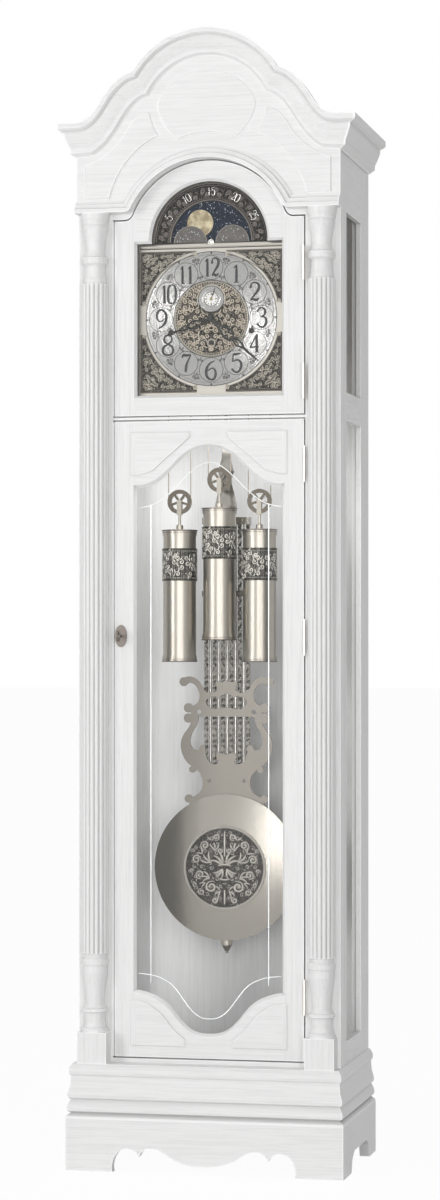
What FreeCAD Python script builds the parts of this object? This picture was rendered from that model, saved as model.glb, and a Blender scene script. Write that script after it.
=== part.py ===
import FreeCAD, Part
import math
import os

V = FreeCAD.Vector
ORIGIN = V(0, 0, 0)
X_AXIS = V(1, 0, 0)
Y_AXIS = V(0, 1, 0)
Z_AXIS = V(0, 0, 1)
FULL_TURN = 360.0
HALF_TURN = 180.0
RIGHT_ANGLE = 90.0

# Longcase clock in millimetres: floor at z 0, front towards -Y, centre line at x 0
# Depths are measured back from the front plane of the doors
door_front_y = -133.0
overrun = 5.0
seat_gap = 0.3
running_gap = 0.05

# Carcase
case_half_width = 258.5
case_depth = 312.0
post_width = 68.5
post_thick = 22.0
side_thick = 19.0
side_front_stile = 62.0
side_back_stile = 88.0
side_bottom_rail = 148.0
side_middle_rail = 54.0
side_top_rail = 110.0
back_thick = 9.0
glass_thick = 3.0
glass_rebate = 7.0
bottom_board_thick = 18.0
door_gap = 3.0

# Base
base_height = 102.0
base_side_projection = 14.0
base_front_projection = 50.0
base_back_projection = 4.0
base_board_thick = 20.0
apron_shares = [
    (0.656, 0.0), (0.646, 0.267), (0.595, 0.422), (0.522, 0.438), (0.464, 0.304), (0.399, 0.460),
    (0.334, 0.447), (0.240, 0.305), (0.095, 0.169), (0.0, 0.151)]
apron_scallop_count = 4
side_apron_shares = [(0.20, 0.0), (0.23, 0.25), (0.30, 0.38), (0.70, 0.38), (0.77, 0.25), (0.80, 0.0)]
base_moulding_height = 104.0
base_moulding_inset = 11.0
base_moulding_shares = [
    (0.0, 0.0), (0.0, 0.03), (0.80, 0.087), (0.27, 0.125), (0.13, 0.173), (0.27, 0.240), (0.745, 0.337),
    (0.31, 0.375), (0.22, 0.433), (0.636, 0.587), (0.80, 0.773), (0.51, 0.808), (0.42, 0.856),
    (0.545, 0.923),
    (1.0, 1.0)]

# Engaged columns on the front posts
column_inset = 35.0
column_depth = -10.0
column_radius = 26.0
column_base_height = 151.7
column_cap_height = 136.8
column_base_shares = [
    (1.0, 0.0), (1.0, 0.04), (0.865, 0.063), (0.77, 0.126), (0.81, 0.242), (0.98, 0.258), (0.98, 0.291),
    (0.846, 0.306), (0.69, 0.37), (0.75, 0.521), (0.96, 0.752), (0.923, 0.842), (1.0, 0.864), (1.0, 0.91),
    (0.885, 0.95), (0.885, 1.0)]
column_cap_shares = [
    (0.885, 0.0), (0.885, 0.05), (0.81, 0.108), (0.79, 0.262), (0.98, 0.298), (0.98, 0.371), (0.81, 0.396),
    (0.71, 0.474), (0.77, 0.605), (0.96, 0.773), (0.923, 0.821), (1.0, 0.846), (1.0, 0.89), (1.077, 0.927),
    (1.077, 1.0)]
reed_count = 16
reed_radius = 4.4
plinth_half_width = 29.0
plinth_projection = 38.5
plinth_height = 60.0

# Doors
door_thick = 20.0
door_sill_gap = 11.0
trunk_door_height = 1230.5
door_stack_gap = 10.5
hood_door_height = 378.0
hood_stile = 43.8
hood_bottom_rail = 39.5
hood_top_rail = 44.3
hood_arch_shoulder = 28.7
arch_centre_drop = 41.0
door_arch_drop = 8.0
door_arch_shoulder = 25.5
door_arch_fillet = 18.0
trunk_stile = 42.5
trunk_top_rail = 127.3
trunk_top_curve = 76.6
trunk_bottom_rail = 129.5
trunk_bottom_curve = 82.0
trunk_top_shares = [(1.0, 0.0), (0.744, 0.09), (0.492, 0.489), (0.261, 0.873), (0.0, 1.0)]
trunk_bottom_shares = [(1.0, 0.0), (0.786, 0.088), (0.584, 0.286), (0.402, 0.656), (0.182, 0.955),
                       (0.0, 1.0)]
door_bevel = 5.0
door_bevel_depth = 6.0
door_glass_depth = 8.0
panel_height = 2.5
panel_margin = 20.6
panel_bevel = 5.0
panel_inset = 31.0
top_panel_rise = 85.0
top_panel_shares = [
    (1.0, 0.0), (1.0, 1.0), (0.224, 1.0), (0.224, 0.894), (0.32, 0.73), (0.55, 0.376), (0.724, 0.094),
    (0.897, 0.0)]
bottom_panel_rise = 90.0
bottom_panel_shares = [
    (1.0, 0.0), (1.0, 1.0), (0.288, 1.0), (0.288, 0.851), (0.436, 0.629), (0.596, 0.284), (0.769, 0.062),
    (0.897, 0.007)]

# Hinges and lock
hinge_pin_radius = 1.5
hinge_knuckle_radius = 3.2
hinge_leaf_thick = 1.0
hinge_leaf_width = 14.0
hinge_length = 66.0
trunk_hinge_forward = 4.0
hood_hinge_forward = 16.0
hinge_pin_head = 2.0
knuckle_count = 3
knuckle_gap = 0.25
hood_hinge_shares = [0.16, 0.76]
trunk_hinge_shares = [0.10, 0.66, 0.93]
lock_height = 815.0
lock_inset = 13.0
escutcheon_half_width = 12.0
escutcheon_half_height = 21.5
escutcheon_thick = 2.0
key_stem_radius = 2.5
key_bow_radius = 11.0
key_bow_thick = 2.6
key_bow_stand = 14.0
key_bow_hole_share = 0.55
key_cam_length = 11.0
key_cam_width = 6.0
key_cam_thick = 2.0

# Bonnet
bonnet_side_projection = 1.5
bonnet_projection = 12.0
bonnet_thick = 12.0
frieze_gap = 14.0
arch_top_margin = 8.0
arch_clearance = 2.5
arch_moulding_width = 24.0
arch_moulding_projection = 19.0
arch_moulding_shares = [(1.0, 0.0), (1.0, 0.26), (0.78, 0.34), (0.70, 0.63), (0.42, 0.72), (0.30, 1.0)]
crown_side_projection = 33.5
crown_front_projection = 30.0
cornice_height = 65.0
crown_rise = 174.0
crown_inner_rise = 189.0
crown_outer_shares = [
    (0.0, 1.0), (0.176, 0.961), (0.343, 0.851), (0.461, 0.704), (0.546, 0.54), (0.661, 0.454),
    (0.779, 0.252),
    (0.879, 0.058), (0.985, 0.0), (1.0, 0.0)]
crown_inner_shares = [
    (0.0, 1.0), (0.135, 0.974), (0.258, 0.897), (0.365, 0.772), (0.446, 0.608), (0.546, 0.534),
    (0.646, 0.354),
    (0.754, 0.143), (0.865, 0.016), (1.0, 0.0)]
crown_arc_count = 4
bonnet_top_share = 0.85
crown_level_shares = [
    (0.0, 0.0), (0.12, 0.05), (0.34, 0.12), (0.36, 0.26), (0.52, 0.44), (0.66, 0.62), (0.68, 0.74),
    (0.92, 0.80),
    (1.0, 0.84)]
roof_thick = 9.0
oval_width_share = 0.379
oval_height = 136.0
oval_gap = 13.0
oval_shares = [(0.61, 0.0), (0.77, 0.118), (0.933, 0.294), (1.0, 0.529), (0.852, 0.713), (0.487, 0.912),
               (0.0, 1.0)]
oval_sag_share = 0.09
spandrel_margin = 27.0
spandrel_run_shares = [
    [(0.938, 0.0), (0.938, 0.816)],
    [(0.938, 0.816), (0.792, 1.016), (0.646, 1.206), (0.538, 1.407), (0.438, 1.460)],
    [(0.438, 1.460), (0.415, 1.344), (0.37, 1.210)],
    [(0.37, 1.210), (0.54, 1.058), (0.68, 0.577), (0.752, 0.0)],
    [(0.752, 0.0), (0.938, 0.0)]]
bonnet_panel_height = 4.0

# Seatboard
seat_thick = 22.0
seat_drop = 146.0
seat_front_depth = 44.0
seat_back_depth = 146.0
slot_clearance = 5.0

# Dial
dial_half_width = 148.0
dial_centre_drop = 149.0
dial_below = 149.5
dial_thick = 2.0
dial_depth = 24.0
dial_arch_radius = 119.0
moon_window_radius = 79.0
moon_sill = 1.5
hump_offset = 41.4
hump_radius = 33.0
chapter_outer_radius = 130.5
chapter_inner_radius = 73.0
chapter_thick = 1.5
seconds_rise = 38.0
seconds_ring_outer = 26.0
seconds_ring_inner = 18.5
rosette_outer = 72.0
rosette_inner = 30.0
ornament_thick = 1.2
spandrel_reach = 141.0
spandrel_start_share = 0.22
spandrel_gap = 5.0
dial_bar_height = 11.0
dial_tab_radius = 7.0
winding_hole_radius = 6.0
moon_ring_outer = 114.5
moon_disc_radius = 98.0
moon_disc_depth = 26.8
moon_axis_drop = 7.0
moon_stud_head = 5.0
dial_foot_radius = 3.0
dial_foot_x = 105.0
dial_foot_up = 80.0
dial_foot_down = 125.0
moon_disc_thick = 1.2
moon_radius = 26.0
moon_orbit_x = 22.5
moon_orbit_z = 43.8
moon_relief = 0.4
moon_stud_radius = 3.0

# Hands, at twenty-two minutes past eight
hand_thick = 1.0
hour_hand_depth = 18.4
minute_hand_depth = 14.8
seconds_hand_depth = 20.9
hour_hand_length = 96.0
minute_hand_length = 127.0
seconds_hand_length = 23.0
hour_hand_angle = 251.0
minute_hand_angle = 132.0
seconds_hand_angle = 20.0
hand_boss_radius = 8.0
minute_boss_radius = 6.0
seconds_boss_radius = 2.6
hand_shares = [(0.0, 0.030), (0.30, 0.024), (0.42, 0.070), (0.52, 0.028), (0.70, 0.042), (0.86, 0.016),
               (1.0, 0.004)]

# Movement
front_plate_depth = 62.0
plate_thick = 3.0
plate_space = 64.0
plate_half_width = 118.0
plate_height = 242.0
pillar_radius = 5.0
pillar_inset = 6.0
pillar_rise = 14.0
barrel_spread = 80.0
barrel_drop = 25.0
going_barrel_drop = 47.0
barrel_radius = 21.0
barrel_flange_radius = 27.0
barrel_flange_thick = 2.0
barrel_front_gap = 13.0
barrel_length = 36.0
barrel_arbor_radius = 5.0
winding_square = 7.0
winding_reach = 2.0
pivot_radius = 1.6
cannon_radius = 3.2
hour_pipe_radius = 5.0
pipe_wall = 1.0
tooth_share = 0.62
tooth_tip_share = 0.28
addendum_share = 0.75
dedendum_share = 1.25
great_teeth = 96
centre_pinion_teeth = 8
centre_teeth = 60
third_pinion_teeth = 8
third_teeth = 64
escape_pinion_teeth = 8
cannon_teeth = 10
minute_teeth = 30
minute_pinion_teeth = 8
hour_teeth = 32
third_side = 12.4
third_lift = 20.3
wheel_thick = 2.0
pinion_length = 6.0
crossing_count = 5
crossing_rim_share = 0.80
crossing_hub_share = 0.30
crossing_arm = 3.0
hub_radius = 5.0
great_wheel_rear_gap = 9.0
centre_wheel_front_gap = 4.0
third_wheel_front_gap = 42.0
escape_wheel_rear_gap = 5.0
motion_gap = 4.0
minute_wheel_side = 17.0
minute_wheel_down = 17.0
escape_teeth = 30
escape_radius = 20.0
escape_root_share = 0.80
escape_lean_share = 0.55
pallet_span_teeth = 7.5
pallet_clearance = 1.6
pallet_arm_width = 4.0
pallet_length = 6.0
pallet_thick = 3.0
pallet_hub_radius = 4.0
crutch_width = 5.0
crutch_thick = 1.6
crutch_stand = 12.0
crutch_length = 60.0
crutch_fork_gap = 0.3
crutch_fork_wall = 1.6

# Pendulum
pendulum_depth = 157.0
leader_width = 7.0
leader_thick = 1.6
spring_width = 8.0
spring_thick = 0.3
spring_length = 14.0
cock_rise = 8.0
cock_height = 14.0
cock_half_width = 13.0
cock_half_depth = 6.0
top_plate_drop = 300.0
top_plate_height = 145.0
top_plate_half_width = 22.0
top_plate_thick = 2.5
top_plate_shares = [(0.36, 1.0), (0.40, 0.80), (0.75, 0.62), (0.45, 0.50), (0.80, 0.30), (1.0, 0.16),
                    (0.7, 0.0)]
grid_bar_half_width = 48.0
grid_bar_height = 14.0
grid_bar_thick = 7.0
grid_half_span = 42.5
grid_plain_count = 5
grid_twisted_count = 6
grid_plain_radius = 2.1
grid_twisted_radius = 3.0
grid_clip_drop = 145.0
grid_clip_half_width = 50.0
grid_clip_height = 11.0
grid_foot_half_width = 46.0
grid_foot_low_share = 0.08
grid_foot_high_share = 0.155
lyre_height = 230.0
lyre_half_width = 93.5
lyre_thick = 4.0
lyre_waist_shares = [(0.80, -0.10), (0.739, -0.028), (0.616, 0.0), (0.536, 0.043), (0.513, 0.103),
                     (0.546, 0.159), (0.635, 0.205), (0.739, 0.235)]
lyre_arm_shares = [(0.739, 0.235), (0.80, 0.252), (0.904, 0.299), (0.974, 0.364), (0.988, 0.442),
                   (0.913, 0.522), (0.795, 0.591), (0.765, 0.64), (0.775, 0.70)]
lyre_neck_shares = [(0.775, 0.70), (0.745, 0.752), (0.635, 0.784), (0.588, 0.83), (0.598, 0.882),
                    (0.664, 0.929), (0.753, 0.955), (0.87, 0.937)]
lyre_tip_shares = [(0.87, 0.937), (0.90, 1.004)]
lyre_horn_shares = [(0.90, 1.004), (0.739, 1.007), (0.621, 0.979), (0.527, 0.927), (0.442, 0.882),
                    (0.339, 0.871), (0.245, 0.882)]
lyre_crest_shares = [(0.245, 0.882), (0.184, 0.905), (0.221, 0.938), (0.221, 0.976)]
lyre_top_shares = [(0.221, 0.976), (0.104, 0.965), (0.0, 0.983)]
upper_sill_shares = [(0.0, 0.746), (0.12, 0.738), (0.245, 0.731), (0.362, 0.741), (0.42, 0.765),
                     (0.456, 0.793)]
upper_head_shares = [(0.456, 0.793), (0.40, 0.822), (0.33, 0.838), (0.268, 0.843), (0.15, 0.838),
                     (0.08, 0.852), (0.0, 0.864)]
lower_crest_shares = [(0.0, 0.341), (0.127, 0.354), (0.212, 0.345), (0.212, 0.312), (0.165, 0.282)]
lower_sill_shares = [(0.165, 0.282), (0.221, 0.258), (0.325, 0.267), (0.409, 0.299), (0.45, 0.35),
                     (0.456, 0.401)]
lower_leaf_shares = [(0.456, 0.401), (0.504, 0.424), (0.56, 0.415), (0.588, 0.380)]
lower_side_shares = [(0.588, 0.380), (0.692, 0.382), (0.772, 0.420), (0.781, 0.470), (0.739, 0.528),
                     (0.654, 0.588), (0.61, 0.666)]
lyre_ball_shares = [(0.925, 0.966, 0.094), (0.825, 0.741, 0.10), (0.825, 0.653, 0.10), (0.739, 0.211, 0.07),
                    (0.82, -0.041, 0.086)]
lyre_hole_shares = [(0.598, 0.705, 0.05)]
lyre_stem_share = 0.05
bob_radius = 144.5
bob_edge = 5.0
bob_dome = 10.0
bob_mid_share = 0.5
pendulum_length = 1136.8
medallion_radius = 83.0
medallion_relief = 2.4
medallion_rim_relief = 1.4
medallion_rim = 5.0
rating_rod_radius = 3.0
rating_rod_length = 26.0
rating_nut_radius = 11.0
rating_nut_height = 9.0
rating_tip_radius = 4.0
rating_tip_height = 12.0

# Weights, pulleys and cables
weight_depth = 97.0
weight_shell_radius = 32.0
weight_length = 259.0
weight_cap_radius = 33.6
weight_cap_height = 12.0
weight_band_radius = 34.0
weight_band_height = 63.0
weight_band_drop = 37.0
weight_knob_radius = 7.0
weight_knob_height = 9.0
weight_hook_radius = 2.5
side_weight_top = 1240.7
middle_weight_lift = 42.3
pulley_rise = 55.0
pulley_radius = 24.0
pulley_groove_radius = 21.0
pulley_thick = 7.0
pulley_lip = 1.1
pulley_arm_share = 0.25
pulley_arms = 5
pulley_arm_width = 4.5
pulley_hub_radius = 5.0
pulley_rim_wall = 4.5
pulley_axle_radius = 1.8
stirrup_wall = 1.8
stirrup_gap = 0.4
stirrup_width = 9.0
cable_radius = 1.0


# Places worked out from the sizes above
def depth(distance):
    return door_front_y + distance


post_inner = case_half_width - post_width
door_half_width = post_inner - door_gap
door_arch_radius = door_half_width - door_arch_shoulder
arch_cut_radius = door_arch_radius + arch_clearance
base_top_z = base_height + base_moulding_height
trunk_bottom_z = base_top_z + door_sill_gap
trunk_top_z = trunk_bottom_z + trunk_door_height
hood_bottom_z = trunk_top_z + door_stack_gap
hood_shoulder_z = hood_bottom_z + hood_door_height
bonnet_bottom_z = hood_shoulder_z + frieze_gap
arch_centre_z = hood_shoulder_z - arch_centre_drop
door_arch_z = arch_centre_z - door_arch_drop
crown_eave_z = door_arch_z + arch_cut_radius + arch_top_margin
oval_low_z = door_arch_z + arch_cut_radius + arch_moulding_width + oval_gap
crown_flat_z = crown_eave_z + cornice_height
dial_centre_z = arch_centre_z - dial_centre_drop
dial_bottom_z = dial_centre_z - dial_below
seat_top_z = dial_centre_z - seat_drop
moon_z = arch_centre_z - moon_axis_drop
barrel_places = [(0, dial_centre_z - going_barrel_drop), (-barrel_spread, dial_centre_z - barrel_drop),
                 (barrel_spread, dial_centre_z - barrel_drop)]
dial_foot_places = [(x, z) for x in (-dial_foot_x, dial_foot_x)
                    for z in (dial_centre_z + dial_foot_up, dial_centre_z - dial_foot_down)]
third_x = third_side
third_z = dial_centre_z + third_lift
minute_x = -minute_wheel_side
minute_z = dial_centre_z - minute_wheel_down
cable_run_radius = pulley_groove_radius + cable_radius + seat_gap
back_plate_depth = front_plate_depth + plate_thick + plate_space
escape_z = dial_centre_z + seconds_rise
pallet_half_angle = math.radians(FULL_TURN * pallet_span_teeth / escape_teeth / 2)
pallet_z = escape_z + escape_radius / math.cos(pallet_half_angle)
base_half_width = case_half_width + base_side_projection
bonnet_half_width = case_half_width + bonnet_side_projection
crown_half_width = bonnet_half_width + crown_side_projection
side_inner = case_half_width - side_thick
panel_half_span = door_half_width - panel_inset
column_x = case_half_width - column_inset
light_half = door_half_width - trunk_stile
hood_light_half = door_half_width - hood_stile
hood_light_arch = hood_light_half - hood_arch_shoulder
arch_cut_fillet = door_arch_fillet - arch_clearance
column_bottom_z = base_top_z + plinth_height
column_y = depth(column_depth)
lock_x = lock_inset - door_half_width
lock_z = trunk_bottom_z + lock_height
hinge_x = door_half_width + door_gap / 2
bob_z = pallet_z - pendulum_length
lyre_base_z = bob_z + bob_radius
lyre_front_depth = pendulum_depth + bob_edge / 2 + seat_gap
grid_depth = lyre_front_depth + lyre_thick + seat_gap + grid_bar_thick / 2


# Makers shared by the pieces
def block(x0, x1, y0, y1, z0, z1):
    return Part.makeBox(x1 - x0, y1 - y0, z1 - z0, V(x0, y0, z0))


def mirrored(shape):
    return shape.mirror(ORIGIN, X_AXIS)


def disc(radius, x, z, near, far):
    return Part.makeCylinder(radius, far - near, V(x, depth(near), z), Y_AXIS)


def ring(outer, inner, x, z, near, far):
    return disc(outer, x, z, near, far).cut(disc(inner, x, z, near - overrun, far + overrun))


def curve(points):
    spline = Part.BSplineCurve()
    spline.interpolate(points)
    return spline.toShape()


def polygon(points):
    return Part.makePolygon(points + points[:1])


def plate(wire, thick):
    return Part.Face(wire).extrude(V(0, thick, 0))


def front_points(pairs, near):
    return [V(x, depth(near), z) for x, z in pairs]


def flip(points):
    return [V(-p.x, p.y, p.z) for p in reversed(points)]


def pulled_in(points, amount):
    middle = V(0, 0, 0)
    for p in points:
        middle = middle.add(p)
    middle = middle.multiply(1 / len(points))
    reach = max(p.sub(middle).Length for p in points)
    return [middle.add(p.sub(middle).multiply(1 - amount / reach)) for p in points]


def closed_runs(runs, points):
    edges = []
    start = 0
    for run in runs:
        part = (points + points[:1])[start:start + len(run)]
        edges.append(curve(part) if len(part) > 2 else Part.makeLine(part[0], part[1]))
        start += len(run) - 1
    return Part.Wire(edges)


def raised_panel(runs, near, height, bevel):
    pairs = [pair for run in runs for pair in run[:-1]]
    low = front_points(pairs, near)
    high = front_points([(p.x, p.z) for p in pulled_in(low, bevel)], near - height)
    return Part.makeLoft([closed_runs(runs, low), closed_runs(runs, high)], True, True)


def straight_runs(pairs):
    return [[first, second] for first, second in zip(pairs, pairs[1:] + pairs[:1])]


def arched_head(radius, fillet, half, low, shoulder, near):
    reach = radius + fillet
    rise = shoulder + fillet - door_arch_z
    foot = math.sqrt(reach * reach - rise * rise)
    share = radius / reach
    turn = (math.atan2(-rise, -foot) - math.radians(RIGHT_ANGLE)) / 2
    knee = (foot + fillet * math.cos(turn), shoulder + fillet + fillet * math.sin(turn))
    spring = (foot * share, door_arch_z + rise * share)
    right = front_points([(half, low), (half, shoulder), (foot, shoulder), knee, spring], near)
    base, corner, heel, bend, top = right
    far_top, far_bend, far_heel, far_corner, far_base = flip(right)
    crest = V(0, top.y, door_arch_z + radius)
    edges = [Part.makeLine(base, corner), Part.makeLine(corner, heel), Part.Arc(heel, bend, top).toShape()]
    edges += [Part.Arc(top, crest, far_top).toShape(), Part.Arc(far_top, far_bend, far_heel).toShape()]
    edges += [Part.makeLine(far_heel, far_corner), Part.makeLine(far_corner, far_base),
              Part.makeLine(far_base, base)]
    return Part.Wire(edges)


def arched_opening(half, low, shoulder, near, thick):
    return plate(arched_head(arch_cut_radius, arch_cut_fillet, half, low, shoulder, near), thick)


def turned(pairs, x, y):
    outline = [V(x + r, y, z) for r, z in pairs]
    outline = [V(x, y, pairs[0][1])] + outline + [V(x, y, pairs[-1][1])]
    return Part.Face(polygon(outline)).revolve(V(x, y, 0), Z_AXIS, FULL_TURN)


def export(name, solids):
    shape = solids[0] if len(solids) == 1 else Part.makeCompound(solids)
    shape.exportStep("parts/" + name + ".step")


# Base boards with the scalloped apron
def scallop(pairs, near, span):
    right = front_points(pairs, near)
    cusp = span
    outer = right[:cusp + 1]
    middle = right[cusp:] + flip(right[cusp:])[1:]
    foot = V(right[0].x, right[0].y, -overrun)
    far_foot = V(-foot.x, foot.y, foot.z)
    edges = [Part.makeLine(foot, right[0]), curve(outer), curve(middle), curve(flip(outer))]
    edges += [Part.makeLine(V(-right[0].x, right[0].y, right[0].z), far_foot),
              Part.makeLine(far_foot, foot)]
    return Part.Wire(edges)


def make_base():
    front = -base_front_projection
    inner = front + base_board_thick
    far = case_depth + base_back_projection
    apron = block(-base_half_width, base_half_width, depth(front), depth(inner), 0, base_height)
    pairs = [(x * base_half_width, z * base_height) for x, z in apron_shares]
    cutter = plate(scallop(pairs, front - overrun, apron_scallop_count), base_board_thick + 2 * overrun)
    apron = apron.cut(cutter)
    side = block(base_half_width - base_board_thick, base_half_width, depth(inner), depth(far), 0,
                 base_height)
    run = far - inner
    low = [V(0, depth(inner + s * run), h * base_height) for s, h in side_apron_shares]
    low = [V(0, p.y, p.z - overrun * (p.z == 0)) for p in low]
    side_cut = Part.Face(polygon(low)).extrude(V(base_half_width + overrun, 0, 0))
    side = side.cut(side_cut)
    export("base_boards", [apron, side, mirrored(side)])
    wires = []
    for inset_share, height_share in base_moulding_shares:
        inset = inset_share * base_moulding_inset
        z = base_height + height_share * base_moulding_height
        w = base_half_width - inset
        y = depth(front + inset)
        wires.append(polygon([V(-w, y, z), V(w, y, z), V(w, depth(case_depth), z),
                              V(-w, depth(case_depth), z)]))
    moulding = Part.makeLoft(wires, True, True)
    inside = block(-case_half_width, case_half_width, depth(0), depth(far + overrun), 0,
                   base_top_z + overrun)
    export("base_moulding", [moulding.cut(inside)])
    floor = block(base_board_thick - base_half_width, base_half_width - base_board_thick, depth(inner),
                  depth(case_depth),
                  base_height - bottom_board_thick, base_height)
    export("bottom_board", [floor])


# Front posts and rails, side frames, back
def make_carcase():
    posts = block(post_inner, case_half_width, depth(0), depth(post_thick), base_height, crown_eave_z)
    frame = posts.fuse(mirrored(posts))
    sill = block(-post_inner, post_inner, depth(0), depth(post_thick), base_height,
                 trunk_bottom_z - door_gap)
    middle = block(-post_inner, post_inner, depth(0), depth(post_thick), trunk_top_z + door_gap,
                   hood_bottom_z - door_gap)
    frieze = block(-post_inner, post_inner, depth(0), depth(post_thick), hood_shoulder_z + door_gap,
                   crown_eave_z)
    frieze = frieze.cut(arched_opening(post_inner, hood_bottom_z, hood_shoulder_z + door_gap, -overrun,
                                       post_thick + 2 * overrun))
    frame = frame.fuse([sill, middle, frieze]).removeSplitter()
    export("front_frame", frame.Solids)
    side = block(side_inner, case_half_width, depth(post_thick), depth(case_depth), base_height,
                 crown_eave_z)
    near = side_front_stile
    far = case_depth - side_back_stile
    lights = [(base_height + side_bottom_rail, trunk_top_z), (trunk_top_z + side_middle_rail,
                                                              crown_eave_z - side_top_rail)]
    panes = []
    seat = side_inner + side_thick / 2
    for low, high in lights:
        side = side.cut(block(side_inner - overrun, case_half_width + overrun, depth(near), depth(far), low,
                              high))
        side = side.cut(block(side_inner - overrun, seat, depth(near - glass_rebate),
                              depth(far + glass_rebate),
                              low - glass_rebate, high + glass_rebate))
        lap = glass_rebate - seat_gap
        panes.append(block(seat - glass_thick, seat, depth(near - lap), depth(far + lap), low - lap,
                           high + lap))
    export("side_frames", [side, mirrored(side)])
    export("side_glass", panes + [mirrored(p) for p in panes])
    back = block(-side_inner, side_inner, depth(case_depth - back_thick), depth(case_depth), base_height,
                 crown_eave_z)
    export("back_panel", [back])
    roof = block(-case_half_width, case_half_width, depth(post_thick), depth(case_depth), crown_eave_z,
                 crown_eave_z + roof_thick)
    export("bonnet_roof", [roof])


# Reeded columns on plinth blocks
def make_columns():
    top_z = bonnet_bottom_z
    shaft_bottom = column_bottom_z + column_base_height
    shaft_top = top_z - column_cap_height
    pairs = [(r * column_radius, column_bottom_z + h * column_base_height) for r, h in column_base_shares]
    pairs += [(r * column_radius, shaft_top + h * column_cap_height) for r, h in column_cap_shares]
    column = turned(pairs, column_x, column_y)
    reeds = []
    for i in range(reed_count):
        turn = math.radians(FULL_TURN * i / reed_count)
        reach = column_radius - reed_radius
        x = column_x + reach * math.cos(turn)
        y = column_y + reach * math.sin(turn)
        if y < depth(0):
            reeds.append(Part.makeCylinder(reed_radius, shaft_top - shaft_bottom, V(x, y, shaft_bottom)))
    column = column.fuse(reeds)
    behind = block(0, crown_half_width, depth(0), depth(column_radius + overrun), 0, crown_flat_z)
    column = column.cut(behind)
    plinth = block(column_x - plinth_half_width, column_x + plinth_half_width, depth(-plinth_projection),
                   depth(0),
                   base_top_z, column_bottom_z)
    export("columns", [column, mirrored(column)])
    export("plinth_blocks", [plinth, mirrored(plinth)])


# Bonnet front, arch moulding, crown and raised panels
def crown_pairs(share, projection_share):
    width = bonnet_half_width + projection_share * (crown_half_width - bonnet_half_width)
    pairs = []
    for (ox, oz), (ix, iz) in zip(crown_outer_shares, crown_inner_shares):
        outer_x = ox * bonnet_half_width
        outer_z = crown_flat_z + oz * crown_rise
        inner_x = ix * bonnet_half_width
        inner_z = crown_eave_z + iz * crown_inner_rise
        x = inner_x + share * (outer_x - inner_x)
        z = inner_z + share * (outer_z - inner_z)
        pairs.append((x, z))
    pairs[-1] = (width, pairs[-1][1])
    return pairs


def crown_line(share, projection_share, near):
    right = front_points(crown_pairs(share, projection_share), near)
    arc = right[:crown_arc_count + 1]
    ogee = right[crown_arc_count:-1]
    end = right[-2:]
    return [Part.makeLine(flip(end)[0], flip(end)[1]), curve(flip(ogee)), curve(flip(arc)[:-1] + arc),
            curve(ogee), Part.makeLine(end[0], end[1])]


def crown_wire(share, projection_share, near):
    top = crown_line(1, projection_share, near)
    under = crown_line(share, projection_share, near)
    right_top = top[-1].Vertexes[-1].Point
    right_low = under[-1].Vertexes[-1].Point
    left_top = V(-right_top.x, right_top.y, right_top.z)
    left_low = V(-right_low.x, right_low.y, right_low.z)
    edges = top + [Part.makeLine(right_top, right_low)] + list(reversed(under)) + [Part.makeLine(left_low,
                                                                                                 left_top)]
    return Part.Wire(edges)


def wing_height(share):
    low_z = bonnet_bottom_z + spandrel_margin
    if share > 1:
        return crown_eave_z + (share - 1) * crown_inner_rise
    return low_z + share * (crown_eave_z - low_z)


def make_bonnet():
    near = -bonnet_projection
    outline = crown_line(bonnet_top_share, 0, near)
    corner = outline[-1].Vertexes[-1].Point
    low_right = V(corner.x, corner.y, bonnet_bottom_z)
    low_left = V(-corner.x, corner.y, bonnet_bottom_z)
    left = V(-corner.x, corner.y, corner.z)
    sides = [Part.makeLine(corner, low_right), Part.makeLine(low_right, low_left),
             Part.makeLine(low_left, left)]
    board = plate(Part.Wire(outline + sides), bonnet_thick)
    front = near - arch_moulding_projection - overrun
    opening = arched_opening(crown_half_width, hood_bottom_z, bonnet_bottom_z, front, overrun - front)
    export("bonnet_front", [board.cut(opening)])

    profile = [V(arch_cut_radius + w * arch_moulding_width, depth(near - p * arch_moulding_projection),
                 door_arch_z)
               for w, p in arch_moulding_shares]
    foot = [V(arch_cut_radius, profile[-1].y, door_arch_z), V(arch_cut_radius, depth(near), door_arch_z)]
    arch = Part.Face(polygon(profile + foot)).revolve(V(0, 0, door_arch_z), Y_AXIS, -HALF_TURN)
    band = [V(-bonnet_half_width, p.y, p.x - arch_cut_radius + bonnet_bottom_z) for p in profile + foot]
    ears = Part.Face(polygon(band)).extrude(V(2 * bonnet_half_width, 0, 0))
    ears = ears.cut(disc(arch_cut_radius, 0, door_arch_z, front, near + overrun))
    export("arch_moulding", arch.fuse(ears).cut(opening).removeSplitter().Solids)

    wires = [crown_wire(s, p, near - p * crown_front_projection) for p, s in crown_level_shares]
    front = Part.makeLoft(wires, True, True)
    ends = []
    for p, s in crown_level_shares:
        x, z = crown_pairs(s, p)[-1]
        ends.append((x, depth(near - p * crown_front_projection), z))
    mitre = [V(x, y, z) for x, y, z in ends]
    mitre += [V(mitre[-1].x, mitre[-1].y, crown_flat_z), V(mitre[0].x, mitre[0].y, crown_flat_z)]
    tail = [V(p.x, depth(case_depth), p.z) for p in mitre]
    side = Part.makeLoft([polygon(mitre), polygon(tail)], True, True)
    export("crown_moulding", [front, side, mirrored(side)])

    oval = [(x * oval_width_share * bonnet_half_width, oval_low_z + z * oval_height) for x, z in oval_shares]
    sag = (0, oval_low_z + oval_sag_share * oval_height)
    left_oval = [(-x, z) for x, z in reversed(oval[:-1])]
    panels = [raised_panel([oval + left_oval, [left_oval[-1], sag, oval[0]]], near, bonnet_panel_height,
                           panel_bevel)]
    runs = [[(x * bonnet_half_width, wing_height(z)) for x, z in run] for run in spandrel_run_shares]
    wing = raised_panel(runs, near, bonnet_panel_height, panel_bevel)
    export("bonnet_panels", panels + [wing, mirrored(wing)])


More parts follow.
